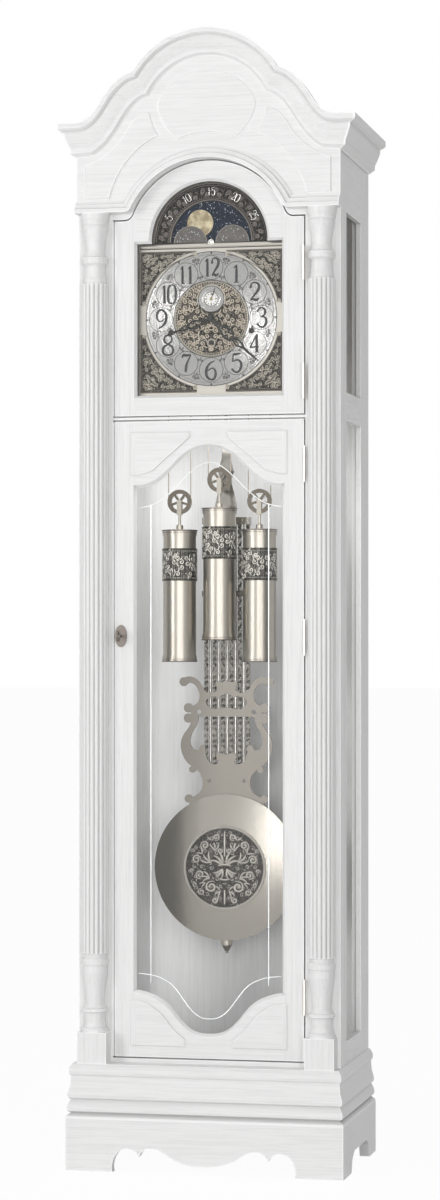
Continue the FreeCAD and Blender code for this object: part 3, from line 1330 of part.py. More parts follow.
# Weights, pulleys and cables
def make_weights():
    y = depth(weight_depth)
    names = ("middle", "left", "right")
    for name, (x, barrel_z) in zip(names, barrel_places):
        top = side_weight_top + (middle_weight_lift if name == "middle" else 0)
        low = top - weight_length
        band_top = top - weight_band_drop
        band_low = band_top - weight_band_height
        shell = weight_shell_radius
        cap = weight_cap_radius
        lip = weight_cap_height
        chamfer = cap - shell
        pairs = [(shell, low), (cap, low + chamfer), (cap, low + lip), (shell, low + lip),
                 (shell, band_low),
                 (weight_band_radius, band_low), (weight_band_radius, band_top), (shell, band_top),
                 (shell, top - lip),
                 (cap, top - lip), (cap, top - chamfer), (shell, top)]
        pairs += [(weight_knob_radius, top + chamfer), (weight_knob_radius, top + weight_knob_height),
                  (weight_hook_radius, top + weight_knob_height + chamfer)]
        hub_z = top + pulley_rise
        cross_z = hub_z - pulley_radius - stirrup_gap - stirrup_wall
        pairs += [(weight_hook_radius, cross_z)]
        body = turned(pairs, x, y)
        inner = pulley_thick / 2 + stirrup_gap
        outer = inner + stirrup_wall
        half = stirrup_width / 2
        arms = [block(x - half, x + half, y - outer, y + outer, cross_z, cross_z + stirrup_wall)]
        for side in (1, -1):
            face = y + side * (inner + stirrup_wall / 2)
            arms.append(block(x - half, x + half, face - stirrup_wall / 2, face + stirrup_wall / 2, cross_z,
                              hub_z))
            arms.append(Part.makeCylinder(half, stirrup_wall, V(x, face - stirrup_wall / 2, hub_z), Y_AXIS))
        arms.append(Part.makeCylinder(pulley_axle_radius, 2 * outer, V(x, y - outer, hub_z), Y_AXIS))
        export("weight_" + name, [body.fuse(arms).removeSplitter()])

        half = pulley_thick / 2
        lip = pulley_lip
        profile = [(pulley_hub_radius, -half), (pulley_radius, -half), (pulley_radius, lip - half),
                   (pulley_groove_radius, -lip), (pulley_groove_radius, lip), (pulley_radius, half - lip),
                   (pulley_radius, half), (pulley_hub_radius, half)]
        outline = [V(x + r, y + d, hub_z) for r, d in [(0, -half)] + profile + [(0, half)]]
        sheave = Part.Face(polygon(outline)).revolve(V(x, y, hub_z), Y_AXIS, FULL_TURN)
        rim = pulley_groove_radius - pulley_rim_wall
        for i in range(pulley_arms):
            middle = 2 * math.pi * (i + pulley_arm_share) / pulley_arms
            half_turn = math.pi / pulley_arms
            points = []
            for radius in (pulley_hub_radius, rim):
                reach = half_turn - math.asin(pulley_arm_width / 2 / radius)
                turns = (middle - reach, middle, middle + reach)
                line = [V(x + radius * math.cos(t), y - half - overrun, hub_z + radius * math.sin(t))
                        for t in turns]
                points += line if radius == pulley_hub_radius else line[::-1]
            sheave = sheave.cut(plate(polygon(points), pulley_thick + 2 * overrun))
        axle = Part.makeCylinder(pulley_axle_radius + running_gap, pulley_thick + 2 * overrun,
                                 V(x, y - half - overrun, hub_z), Y_AXIS)
        export("pulley_" + name, [sheave.cut(axle)])

        run = cable_run_radius
        anchor = V(x - run, y, seat_top_z)
        left = V(x - run, y, hub_z)
        bottom = V(x, y, hub_z - run)
        right = V(x + run, y, hub_z)
        drum = V(x + run, y, barrel_z)
        edges = [Part.makeLine(anchor, left), Part.Arc(left, bottom, right).toShape(),
                 Part.makeLine(right, drum)]
        route = Part.Wire(edges)
        section = Part.Wire(Part.makeCircle(cable_radius, anchor, Z_AXIS))
        export("cable_" + name, [route.makePipeShell([section], True, False)])


os.makedirs("parts", exist_ok=True)
make_base()
make_carcase()
make_columns()
make_bonnet()
make_doors()
make_hinges()
make_lock()
make_dial()
make_hands()
make_train()
make_plates()
make_anchor()
make_pendulum()
make_weights()
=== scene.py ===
import math
import random

import bmesh
import bpy
from mathutils import Matrix, Vector


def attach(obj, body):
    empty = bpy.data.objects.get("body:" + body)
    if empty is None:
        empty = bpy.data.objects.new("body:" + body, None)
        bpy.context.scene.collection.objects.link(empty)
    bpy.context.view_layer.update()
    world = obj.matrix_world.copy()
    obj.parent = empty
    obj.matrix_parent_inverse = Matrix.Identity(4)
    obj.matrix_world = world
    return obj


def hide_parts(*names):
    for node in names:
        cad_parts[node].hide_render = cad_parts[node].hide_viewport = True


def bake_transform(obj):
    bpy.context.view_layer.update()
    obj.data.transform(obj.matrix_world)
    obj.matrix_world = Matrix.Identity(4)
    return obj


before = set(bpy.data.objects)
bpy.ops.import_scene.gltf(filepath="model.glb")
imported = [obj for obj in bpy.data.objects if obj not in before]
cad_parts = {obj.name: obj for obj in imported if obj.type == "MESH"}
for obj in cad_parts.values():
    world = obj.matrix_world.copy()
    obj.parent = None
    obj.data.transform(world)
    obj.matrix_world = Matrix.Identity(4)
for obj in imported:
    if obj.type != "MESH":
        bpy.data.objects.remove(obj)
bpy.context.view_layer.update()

# Places of the clock, in millimetres, as the solids have them
MM = 0.001
DOOR_Y = -133.0
DIAL_Z = 1646.0
ARCH_Z = 1795.0
MOON_Z = 1788.0
BOB_Z = 575.5
SECONDS_Z = 1684.0
# Centre line, top of the shell and height of the barrel for each weight
WEIGHTS = {
    "left": (-80.0, 1240.7, 1621.0),
    "middle": (0.0, 1283.0, 1599.0),
    "right": (80.0, 1240.7, 1621.0),
}


def deep(distance):
    """Y in metres of a depth behind the door fronts."""
    return (DOOR_Y + distance) * MM


def spot(x, distance, z):
    """Place in metres from millimetres across, behind the door fronts and up."""
    return Vector((x * MM, deep(distance), z * MM))


# Shader maths

class Value:
    """A shader socket that takes part in sums and products."""

    def __init__(self, owner, socket):
        self.owner = owner
        self.socket = socket

    def combine(self, operation, first, second):
        return self.owner.node("Math", {"operation": operation}, {0: first, 1: second})

    def __add__(self, other):
        return self.combine("ADD", self, other)

    __radd__ = __add__

    def __sub__(self, other):
        return self.combine("SUBTRACT", self, other)

    def __rsub__(self, other):
        return self.combine("SUBTRACT", other, self)

    def __mul__(self, other):
        return self.combine("MULTIPLY", self, other)

    __rmul__ = __mul__

    def __truediv__(self, other):
        return self.combine("DIVIDE", self, other)

    def __abs__(self):
        return self.combine("ABSOLUTE", self, 0.0)

    def above(self, level):
        return self.combine("GREATER_THAN", self, level)

    def power(self, exponent):
        return self.combine("POWER", self, exponent)

    def greatest(self, other):
        return self.combine("MAXIMUM", self, other)


class Nodes:
    """A node tree that makes its nodes by one method."""

    def __init__(self, tree):
        self.tree = tree

    def node(self, kind, settings, inputs, out=0):
        made = self.tree.nodes.new("ShaderNode" + kind)
        for key, value in settings.items():
            if key == "stops":
                ramp = made.color_ramp
                while len(ramp.elements) < len(value):
                    ramp.elements.new(0.5)
                for element, (place, colour) in zip(ramp.elements, value):
                    element.position = place
                    element.color = colour
            else:
                setattr(made, key, value)
        for key, value in inputs.items():
            socket = made.inputs[key]
            if isinstance(value, Value):
                self.tree.links.new(value.socket, socket)
            else:
                socket.default_value = value
        return Value(self, made.outputs[out] if made.outputs else None)

    def others(self, value, *names):
        """Outputs by name of the node that a value comes from."""
        outputs = value.socket.node.outputs
        return [Value(self, outputs[name]) for name in names]

    def seen_directly(self):
        """1 for camera, glossy and transmission rays, else 0."""
        seen = self.node("LightPath", {}, {}, "Is Camera Ray")
        for ray in self.others(seen, "Is Glossy Ray", "Is Transmission Ray"):
            seen = seen.greatest(ray)
        return seen


class Finish(Nodes):
    """A procedural material built round one Principled shader."""

    def __init__(self, name, **sockets):
        self.material = bpy.data.materials.new(name)
        self.material.use_nodes = True
        super().__init__(self.material.node_tree)
        self.shader = self.tree.nodes["Principled BSDF"]
        for key, value in sockets.items():
            self.shader.inputs[key.replace("_", " ")].default_value = value

    def feed(self, socket, value):
        self.tree.links.new(value.socket, self.shader.inputs[socket])

    def place(self):
        return self.node("TexCoord", {}, {}, "Object")

    def stretched(self, scale):
        return self.node("Mapping", {}, {"Vector": self.place(), "Scale": scale})

    def parts(self, vector):
        return self.others(self.node("SeparateXYZ", {}, {"Vector": vector}), *"XYZ")

    def noise(self, vector, scale, detail=3.0, roughness=0.5, distortion=0.0):
        return self.node("TexNoise", {}, {"Vector": vector, "Scale": scale, "Detail": detail,
                                         "Roughness": roughness, "Distortion": distortion})

    def grey(self, value, *stops):
        """Ramp of greys through pairs of place and level."""
        greys = [(place, (level, level, level, 1.0)) for place, level in stops]
        return self.node("ValToRGB", {"stops": greys}, {"Fac": value})

    def blend(self, factor, low, high):
        return self.node("Mix", {"data_type": "RGBA"}, {"Factor": factor, 6: low, 7: high}, 2)

    def tint(self, factor, low, high):
        return self.blend(factor, low + (1.0,), high + (1.0,))

    def closeness(self, reach, inside):
        """How open the surface is within a reach: outside for hollows, inside for edges."""
        settings = {"samples": 4, "inside": inside, "only_local": True}
        return self.node("AmbientOcclusion", settings, {"Distance": reach}, "AO")

    def bump(self, height, strength, distance):
        inputs = {"Height": height, "Strength": strength, "Distance": distance}
        self.feed("Normal", self.node("Bump", {}, inputs))


# Painted oak: white paint that sinks into the open pores

# Reach of the painted highlight that lightens convex edges
EDGE_HIGHLIGHT_REACH = 0.0028
# Reach of the painted shade that darkens creases and hollows
CREASE_SHADE_REACH = 0.009
PAINT_LEVEL = 0.80
# Lighter level of the same white paint for the inside of the case: painted light
LIT_INSIDE_LEVEL = 0.90


def along_grain(across, lengthwise, axis):
    """Scale that is fine across the grain and long along one axis."""
    scale = [across] * 3
    scale[axis] = lengthwise
    return scale


def oak_pores(finish, along):
    """Pore and figure masks with the grain along axis 0, 1 or 2."""
    fine = finish.stretched(along_grain(620.0, 14.0, along))
    pores = finish.grey(finish.noise(fine, 1.0, 4.0, 0.62, 0.2), (0.47, 0.0), (0.66, 1.0))
    wide = finish.stretched(along_grain(95.0, 3.0, along))
    figure = finish.grey(finish.noise(wide, 1.0, 3.0, 0.55, 1.4), (0.50, 0.0), (0.60, 1.0))
    return pores, figure


def painted_oak(name, along, cross=None, level=PAINT_LEVEL):
    """White oak; cross turns the grain in a band: its axis, half width, centre and grain."""
    finish = Finish(name, Specular_IOR_Level=0.40)
    pores, figure = oak_pores(finish, along)
    if cross:
        axis, half, centre, other = cross
        inner_pores, inner_figure = oak_pores(finish, other)
        inside = 1.0 - abs(finish.parts(finish.place())[axis] - centre).above(half)
        pores = pores + inside * (inner_pores - pores)
        figure = figure + inside * (inner_figure - figure)
    paint = (level, level, level * 0.995)
    shade = (level * 0.955, level * 0.955, level * 0.95)
    hollow = (level * 0.84, level * 0.84, level * 0.835, 1.0)
    worn_and_highlight = (min(level * 1.16, 0.95),) * 3 + (1.0,)
    crease_shade_colour = (level * 0.66, level * 0.66, level * 0.655, 1.0)
    # Painted highlight: paint lighter along convex edges
    edges = finish.grey(finish.closeness(EDGE_HIGHLIGHT_REACH, True), (0.62, 1.0), (0.95, 0.0))
    # Painted shade: paint darker in creases and hollows within reach
    crease_shade = finish.grey(finish.closeness(CREASE_SHADE_REACH, False), (0.45, 1.0), (0.92, 0.0))
    body = finish.tint(figure, paint, shade)
    for mask, colour in ((pores * 0.5, hollow), (edges, worn_and_highlight), (crease_shade, crease_shade_colour)):
        body = finish.blend(mask, body, colour)
    finish.feed("Base Color", body)
    finish.feed("Roughness", 0.36 + pores * 0.16)
    finish.bump(1.0 - (pores * 0.7 + figure * 0.3), 0.16, 0.0003)
    return finish.material


# Metals, glass and enamel

BRUSHED_DARK = 0.82
TURNED_DARK = 0.86
GROOVE_LEAN = 2.2
CAST_ROUGHNESS = 0.34
RIDGE_WIDTH = 0.05


def marked_colour(finish, marks, scale, colour, dark):
    """Colour that the brush marks and soft clouds darken."""
    clouds = finish.noise(finish.place(), scale)
    deep_colour = tuple(c * dark for c in colour)
    finish.feed("Base Color", finish.tint(marks * 0.7 + clouds * 0.3, deep_colour, colour))


def brushed_metal(name, colour, roughness, along):
    """Metal with fine brushing along axis 0, 1 or 2."""
    finish = Finish(name, Metallic=1.0)
    strokes = finish.noise(finish.stretched(along_grain(1500.0, 10.0, along)), 1.0, 3.0, 0.6)
    marked_colour(finish, strokes, 22.0, colour, BRUSHED_DARK)
    finish.feed("Roughness", roughness - 0.05 + strokes * 0.10)
    finish.bump(strokes, 0.08, 0.0002)
    return finish.material


def turned_metal(name, colour, roughness, height, strength=GROOVE_LEAN):
    """Metal brushed in circles about a height; each groove leans the light out or in."""
    finish = Finish(name, Metallic=1.0)
    across, _, z = finish.parts(finish.place())
    up = z - height
    radius = (across * across + up * up).power(0.5)
    rings = finish.node("CombineXYZ", {}, {"X": radius * 2600.0, "Y": 0.0, "Z": 0.0})
    marks = finish.noise(rings, 1.0, 3.0, 0.7)
    marked_colour(finish, marks, 20.0, colour, TURNED_DARK)
    finish.feed("Roughness", roughness - 0.03 + marks * 0.06)
    outward = finish.node("CombineXYZ", {}, {"X": across / radius, "Y": 0.0, "Z": up / radius})
    lean = finish.node("VectorMath", {"operation": "SCALE"},
                       {0: outward, "Scale": (marks - 0.5) * strength})
    facing = finish.node("NewGeometry", {}, {}, "Normal")
    tilted = finish.node("VectorMath", {"operation": "ADD"}, {0: facing, 1: lean})
    finish.feed("Normal", finish.node("VectorMath", {"operation": "NORMALIZE"}, {0: tilted}))
    return finish.material


def cast_relief(name, low, high):
    """Antiqued casting: dark in the hollows, worn bright on what stands proud."""
    finish = Finish(name, Metallic=1.0)
    grain = finish.noise(finish.place(), 420.0, 4.0, 0.65)
    worn_and_highlight = finish.node("NewGeometry", {}, {}, "Pointiness")
    edge = finish.grey(worn_and_highlight, (0.46, 0.0), (0.55, 1.0))
    finish.feed("Base Color", finish.tint(edge * 0.75 + grain * 0.35, low, high))
    finish.feed("Roughness", CAST_ROUGHNESS - 0.1 + grain * 0.25)
    finish.bump(grain, 0.3, 0.0004)
    return finish.material


def chased_ground(name, low, high, scale):
    """Dark casting filled with fine winding ridges that catch the light."""
    finish = Finish(name, Metallic=1.0)
    place = finish.place()
    winding = finish.noise(place, scale, 1.5, 0.4, 1.6)
    ridge = finish.grey(abs(winding - 0.5), (0.0, 1.0), (RIDGE_WIDTH, 0.0))
    second = finish.grey(abs(winding - 0.64), (0.0, 0.8), (RIDGE_WIDTH * 0.8, 0.0))
    raised = ridge + second
    grain = finish.noise(place, 500.0, 3.0, 0.6)
    finish.feed("Base Color", finish.tint(raised * 0.8 + grain * 0.15, low, high))
    finish.feed("Roughness", 0.30 + grain * 0.22)
    finish.bump(raised + grain * 0.2, 0.8, 0.0012)
    return finish.material


def mottled(finish, noise, tones, roughness, spread=0.2):
    """Let a finish drift between two tones, its gloss with it."""
    grain = finish.noise(finish.place(), *noise)
    finish.feed("Base Color", finish.tint(grain, *tones))
    finish.feed("Roughness", roughness + grain * spread)
    return finish.material


def moon_gold():
    """Pale gold moon with soft craters."""
    finish = Finish("moon_gold")
    seas = finish.noise(finish.place(), 70.0, 4.0, 0.6)
    craters = finish.node("TexVoronoi", {"feature": "SMOOTH_F1"},
                          {"Vector": finish.place(), "Scale": 150.0, "Smoothness": 0.4})
    pale = finish.grey(seas, (0.38, 0.0), (0.64, 1.0))
    finish.feed("Base Color", finish.tint(pale, (0.32, 0.25, 0.14), (0.74, 0.66, 0.44)))
    finish.feed("Roughness", 0.42 + seas * 0.2)
    finish.bump(craters, 0.5, 0.001)
    return finish.material


def black_steel():
    """Black steel of the hands and numerals, with a fine tooth."""
    finish = Finish("black_steel", Specular_IOR_Level=0.5)
    finish.bump(finish.noise(finish.place(), 300.0), 0.15, 0.0003)
    return mottled(finish, (300.0,), ((0.008, 0.008, 0.008), (0.03, 0.028, 0.026)), 0.28)


SILVERED = (0.46, 0.455, 0.44)
OAK_UP = painted_oak("painted_oak_upright", 2)
OAK_ACROSS = painted_oak("painted_oak_across", 0)
OAK_POSTS = painted_oak("painted_oak_posts", 2, (0, 190.0 * MM, 0.0, 0))
OAK_TRUNK = painted_oak("painted_oak_trunk_door", 2, (0, 144.5 * MM, 0.0, 0))
OAK_HOOD = painted_oak("painted_oak_hood_door", 2, (0, 143.0 * MM, 0.0, 0))
OAK_SIDES = painted_oak("painted_oak_sides", 2, (1, 81.0 * MM, deep(143.0), 1))
# Back panel and bottom board in the lighter paint: painted light inside the case
OAK_INSIDE_LIT = painted_oak("painted_oak_inside_lit", 2, None, LIT_INSIDE_LEVEL)
GLASS = mottled(Finish("clear_pane", Alpha=0.035, IOR=1.5), (5.0, 2.0),
                ((0.35, 0.38, 0.38), (0.45, 0.48, 0.48)), 0.01, 0.03)
WEIGHT_METAL = brushed_metal("brushed_nickel_round", (0.42, 0.39, 0.34), 0.34, 2)
LYRE_METAL = brushed_metal("satin_nickel_lyre", (0.28, 0.258, 0.228), 0.36, 2)
ROD_METAL = brushed_metal("polished_rod", (0.40, 0.38, 0.345), 0.15, 2)
FLAT_METAL = brushed_metal("brushed_nickel_flat", (0.56, 0.53, 0.475), 0.30, 0)
BOB_METAL = turned_metal("turned_nickel_bob", (0.37, 0.347, 0.31), 0.25, BOB_Z * MM, 0.5)
CHAPTER_METAL = turned_metal("silvered_ring", SILVERED, 0.17, DIAL_Z * MM)
PEWTER = cast_relief("antique_pewter", (0.060, 0.053, 0.045), (0.50, 0.46, 0.39))
DARK_CAST = cast_relief("smoked_casting", (0.020, 0.016, 0.014), (0.22, 0.195, 0.175))
ARCH_GROUND = chased_ground("moon_ring_ground", (0.008, 0.007, 0.006), (0.17, 0.15, 0.135), 130.0)
CENTRE_CAST = cast_relief("antique_centre", (0.05, 0.042, 0.032), (0.62, 0.55, 0.45))
GROUND = chased_ground("dark_chased_ground", (0.018, 0.016, 0.014), (0.34, 0.315, 0.28), 120.0)
BAND_GROUND = chased_ground("weight_band_ground", (0.012, 0.011, 0.010), (0.26, 0.25, 0.23), 100.0)
BAND_CAST = cast_relief("weight_band_cast", (0.16, 0.15, 0.135), (0.74, 0.71, 0.65))
MEDAL_CAST = cast_relief("medallion_cast", (0.12, 0.113, 0.105), (0.46, 0.435, 0.40))
MEDAL_GROUND = chased_ground("medallion_ground", (0.045, 0.042, 0.038), (0.21, 0.20, 0.185), 75.0)
LINE = mottled(Finish("engraved_line"), (600.0,),
               ((0.030, 0.027, 0.024), (0.085, 0.080, 0.074)), 0.42)
BRIGHT = brushed_metal("bright_nickel", (0.90, 0.88, 0.84), 0.22, 0)
GROOVE = brushed_metal("glass_groove", (0.86, 0.88, 0.88), 0.35, 2)
BRASS = brushed_metal("clock_brass", (0.62, 0.48, 0.25), 0.30, 1)
HINGE = brushed_metal("pale_hinge", (0.80, 0.78, 0.74), 0.38, 2)
STEEL = brushed_metal("plain_steel", (0.42, 0.41, 0.40), 0.32, 2)
PULLEY = brushed_metal("bronzed_pulley", (0.19, 0.165, 0.135), 0.24, 0)
CABLE_STEEL = brushed_metal("cable_bronze", (0.34, 0.29, 0.24), 0.42, 0)
SKY = mottled(Finish("night_sky", Specular_IOR_Level=0.15), (55.0, 4.0, 0.6),
              ((0.002, 0.004, 0.010), (0.010, 0.020, 0.046)), 0.35)
MOON = moon_gold()
SMOKED = mottled(Finish("smoked_nickel", Metallic=1.0), (90.0, 4.0, 0.6),
                 ((0.060, 0.056, 0.052), (0.16, 0.15, 0.14)), 0.32)
BLACK = black_steel()
STAR_PAINT = mottled(Finish("star_paint"), (300.0,), ((0.62, 0.66, 0.70), (0.86, 0.88, 0.90)), 0.4)
SECONDS_METAL = turned_metal("silvered_seconds", SILVERED, 0.17, SECONDS_Z * MM)

# Finish of each solid

FINISHES = {
    OAK_UP: ["columns", "plinth_blocks"],
    OAK_ACROSS: ["base_boards", "base_moulding", "bonnet_front", "arch_moulding", "crown_moulding",
                 "bonnet_panels", "bonnet_roof", "seatboard"],
    OAK_POSTS: ["front_frame"],
    OAK_TRUNK: ["trunk_door_frame"],
    OAK_HOOD: ["hood_door_frame"],
    OAK_SIDES: ["side_frames"],
    OAK_INSIDE_LIT: ["back_panel", "bottom_board"],
    GLASS: ["side_glass", "hood_door_glass", "trunk_door_glass"],
    WEIGHT_METAL: ["weight_left", "weight_middle", "weight_right", "rating_nut"],
    LYRE_METAL: ["lyre_frame"],
    ROD_METAL: ["pendulum_grid"],
    FLAT_METAL: ["dial_plate"],
    DARK_CAST: ["lock_escutcheon", "lock_key"],
    BOB_METAL: ["bob"],
    CHAPTER_METAL: ["chapter_ring"],
    GROUND: ["dial_ornaments"],
    ARCH_GROUND: ["moon_ring"],
    BRASS: ["front_plate", "back_plate", "great_wheel", "centre_wheel", "third_wheel",
            "escape_wheel", "minute_wheel", "hour_wheel", "going_barrel", "strike_barrel",
            "chime_barrel"],
    HINGE: ["hinge_pins", "hood_hinge_leaves", "trunk_hinge_leaves"],
    STEEL: ["anchor_crutch", "suspension"],
    PULLEY: ["pulley_left", "pulley_middle", "pulley_right"],
    CABLE_STEEL: ["cable_left", "cable_middle", "cable_right"],
    SKY: ["moon_disc"],
    BLACK: ["hour_hand", "minute_hand", "seconds_hand"],
}
for finish_material, names in FINISHES.items():
    for name in names:
        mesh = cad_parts[name].data
        mesh.materials.clear()
        mesh.materials.append(finish_material)


# Camera, floor and studio light

CAMERA_TURN = math.radians(12.7)
CAMERA_FAR = 5.995
CAMERA_HIGH = 1.0
SENSOR_MM = 36.0
LENS_MM = 93.32
SHIFT_X = 0.0095
SHIFT_Y = 0.0438
FLOOR_WHITE = 0.96
FLOOR_REACH = 80.0
BACKDROP_WHITE = 1.0
WORLD_LIGHT = 0.32


def set_camera():
    camera = bpy.data.cameras.new("camera")
    camera.sensor_width = SENSOR_MM
    camera.sensor_fit = "AUTO"
    camera.lens = LENS_MM
    camera.shift_x = SHIFT_X
    camera.shift_y = SHIFT_Y
    seen = bpy.data.objects.new("camera", camera)
    seen.location = (CAMERA_FAR * math.sin(CAMERA_TURN),
                     DOOR_Y * MM - CAMERA_FAR * math.cos(CAMERA_TURN), CAMERA_HIGH)
    seen.rotation_euler = (math.radians(90.0), 0.0, CAMERA_TURN)
    bpy.context.collection.objects.link(seen)
    bpy.context.scene.camera = seen


def add_area(name, place, aim, size, watts):
    light = bpy.data.lights.new(name, "AREA")
    light.shape = "RECTANGLE"
    light.size, light.size_y = size
    light.energy = watts
    lamp = bpy.data.objects.new(name, light)
    lamp.location = place
    lamp.rotation_euler = (Vector(aim) - Vector(place)).to_track_quat("-Z", "Y").to_euler()
    bpy.context.collection.objects.link(lamp)


def set_world():
    """White to the camera and in reflections, a softer grey as light."""
    world = bpy.data.worlds.new("studio")
    bpy.context.scene.world = world
    world.use_nodes = True
    studio = Nodes(world.node_tree)
    studio.tree.nodes.clear()
    amount = studio.node("Mix", {"data_type": "FLOAT"},
                         {0: studio.seen_directly(), 2: WORLD_LIGHT, 3: BACKDROP_WHITE})
    back = studio.node("Background", {}, {"Color": (1.0, 1.0, 1.0, 1.0), "Strength": amount})
    studio.node("OutputWorld", {}, {"Surface": back})


def add_floor():
    """Pale floor that fades to the white of the backdrop and keeps a soft shadow."""
    finish = Finish("studio_floor", Roughness=0.7)
    haze = finish.noise(finish.place(), 3.0, 2.0)
    finish.feed("Base Color", finish.tint(haze, (0.90, 0.90, 0.90), (0.94, 0.94, 0.94)))
    lit = Value(finish, finish.shader.outputs[0])
    white = finish.node("Emission", {}, {})
    share = finish.seen_directly() * FLOOR_WHITE
    both = finish.node("MixShader", {}, {0: share, 1: lit, 2: white})
    output = finish.tree.nodes["Material Output"]
    finish.tree.links.new(both.socket, output.inputs["Surface"])
    sheet = bmesh.new()
    bmesh.ops.create_grid(sheet, x_segments=2, y_segments=2, size=FLOOR_REACH)
    place_mesh("studio_floor", sheet, finish.material)


def place_mesh(name, shape, material, outward=False):
    """Turn a bmesh into an object at the origin, its faces outward if they aren't yet."""
    if not outward:
        bmesh.ops.recalc_face_normals(shape, faces=shape.faces)
    mesh = bpy.data.meshes.new(name)
    shape.to_mesh(mesh)
    shape.free()
    mesh.materials.append(material)
    piece = bpy.data.objects.new(name, mesh)
    bpy.context.collection.objects.link(piece)
    return piece


set_camera()
set_world()
add_floor()
add_area("key_left", (-3.7, -4.8, 1.9), (0.0, 0.0, 1.0), (1.4, 2.8), 104.0)
add_area("front_soft", (2.8, -5.9, 1.6), (0.0, 0.0, 1.05), (1.8, 2.4), 72.0)
add_area("front_middle", (0.45, -6.8, 1.3), (0.0, 0.0, 1.0), (0.8, 2.4), 72.0)
add_area("case_lamp", spot(0.0, 45.0, 1428.0), spot(0.0, 260.0, 900.0), (0.30, 0.06), 0.65)
add_area("top_soft", (0.0, -0.9, 4.2), (0.0, 0.0, 1.0), (2.4, 2.4), 16.0)
bpy.context.scene.view_settings.view_transform = "Standard"


# Bodies that new pieces ride


def ride(piece, body):
    """Let a new piece ride a body."""
    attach(piece, body)


# Scrolls, curls and leaves laid on a surface

def on_dial(lift_from, centre_z=DIAL_Z):
    """Surface that faces the front: millimetres about a centre, standing proud of a depth."""
    return lambda u, v, lift: spot(u, lift_from - lift, centre_z + v)


def on_drum(x, distance, z, radius):
    """Surface of an upright drum: u runs round it, v up it."""
    def place(u, v, lift):
        turn = u / radius
        reach = radius + lift
        return spot(x + reach * math.sin(turn), distance - reach * math.cos(turn), z + v)
    return place


def round_place(radius, degrees):
    turn = math.radians(degrees)
    return radius * math.sin(turn), radius * math.cos(turn)


def turned_about(points, degrees):
    c, s = math.cos(math.radians(degrees)), math.sin(math.radians(degrees))
    return [(u * c + v * s, v * c - u * s, w) for u, v, w in points]


def moved(points, du, dv):
    return [(u + du, v + dv, w) for u, v, w in points]


def both_sides(strokes):
    return strokes + [[(-u, v, w) for u, v, w in stroke] for stroke in strokes]


def curl(u, v, radius, start, turns, width, hand=1):
    """Spiral stroke that winds in from a start angle and ends in an eye."""
    steps = max(int(turns * 8), 5)
    points = []
    for i in range(steps + 1):
        share = i / steps
        turn = math.radians(start) + hand * share * turns * math.tau
        reach = radius * (1.0 - 0.78 * share)
        swell = width * (0.45 + 0.75 * min(share * 3, 1.0))
        points.append((u + reach * math.cos(turn), v + reach * math.sin(turn), swell))
    points.append((u, v, width * 1.5))
    return points


def leaf(u, v, angle, length, width, bend=0.25):
    """Pointed leaf that bends to one side."""
    c, s = math.cos(math.radians(angle)), math.sin(math.radians(angle))
    outline = [(0.0, 0.0, 0.35), (0.35, bend * 0.7, 1.0), (0.7, bend, 0.8), (1.0, bend * 0.4, 0.1)]
    return [(u + length * (a * c - b * s), v + length * (a * s + b * c), width * w)
            for a, b, w in outline]


def dot(u, v, size):
    """Round dot or bead."""
    return [(u, v - size, size * 0.3), (u, v - size * 0.6, size * 0.95),
            (u, v + size * 0.6, size * 0.95), (u, v + size, size * 0.3)]


def bead_row(radius, turns, size):
    """Beads at several angles of one circle."""
    return [dot(*round_place(radius, turn), size) for turn in turns]


def arc(radius, start, stop, width, steps, u=0.0, v=0.0):
    points = []
    for i in range(steps + 1):
        turn = math.radians(start + (stop - start) * i / steps)
        points.append((u + radius * math.sin(turn), v + radius * math.cos(turn), width))
    return points


def ring(radius, width, steps, u=0.0, v=0.0):
    """Circle for a closed stroke, whose last point isn't its first."""
    return arc(radius, 0.0, 360.0, width, steps, u, v)[:-1]


def stroke_piece(name, strokes, surface, material, body, lift=0.0, flat=None, sides=1,
                 closed=False):
    """Lay round strokes on a surface as one piece; flat = (depth, share) presses them flat."""
    line = bpy.data.curves.new(name, "CURVE")
    line.dimensions = "3D"
    line.bevel_depth = MM
    line.bevel_resolution = sides
    line.resolution_u = 2
    line.use_fill_caps = True
    for stroke in strokes:
        if len(stroke) == 2:
            middle = tuple((a + b) / 2 for a, b in zip(*stroke))
            stroke = [stroke[0], middle, stroke[1]]
        spline = line.splines.new("NURBS")
        spline.points.add(len(stroke) - 1)
        for point, (u, v, width) in zip(spline.points, stroke):
            point.co = (*surface(u, v, lift), 1.0)
            point.radius = width
        spline.order_u = 3
        spline.use_endpoint_u = not closed
        spline.use_cyclic_u = closed
    holder = bpy.data.objects.new(name, line)
    mesh = bpy.data.meshes.new_from_object(holder)
    bpy.data.objects.remove(holder)
    bpy.data.curves.remove(line)
    shape = bmesh.new()
    shape.from_mesh(mesh)
    bpy.data.meshes.remove(mesh)
    if flat:
        depth, share = flat
        bmesh.ops.scale(shape, vec=(1.0, share, 1.0), verts=shape.verts,
                        space=Matrix.Translation((0.0, -deep(depth), 0.0)))
    piece = place_mesh(name, shape, material)
    faces = piece.data.polygons
    faces.foreach_set("use_smooth", [True] * len(faces))
    if body:
        ride(piece, body)
    return piece


# Plates and bands

def turned_piece(name, outline, centre, axis, steps, material, body):
    """Spin an open outline once round an axis."""
    shape = bmesh.new()
    corners = [shape.verts.new(point) for point in outline]
    edges = [shape.edges.new(pair) for pair in zip(corners, corners[1:])]
    bmesh.ops.spin(shape, geom=corners + edges, cent=centre, axis=axis, angle=math.tau,
                   steps=steps, use_merge=True)
    ride(place_mesh(name, shape, material), body)


def flat_ring(name, z, distance, inner, outer, material):
    """Flat ring of the dial that faces the front."""
    outline = [spot(reach, distance, z) for reach in (inner, outer)]
    turned_piece(name, outline, spot(0.0, distance, z), (0.0, 1.0, 0.0), 64, material, "case")


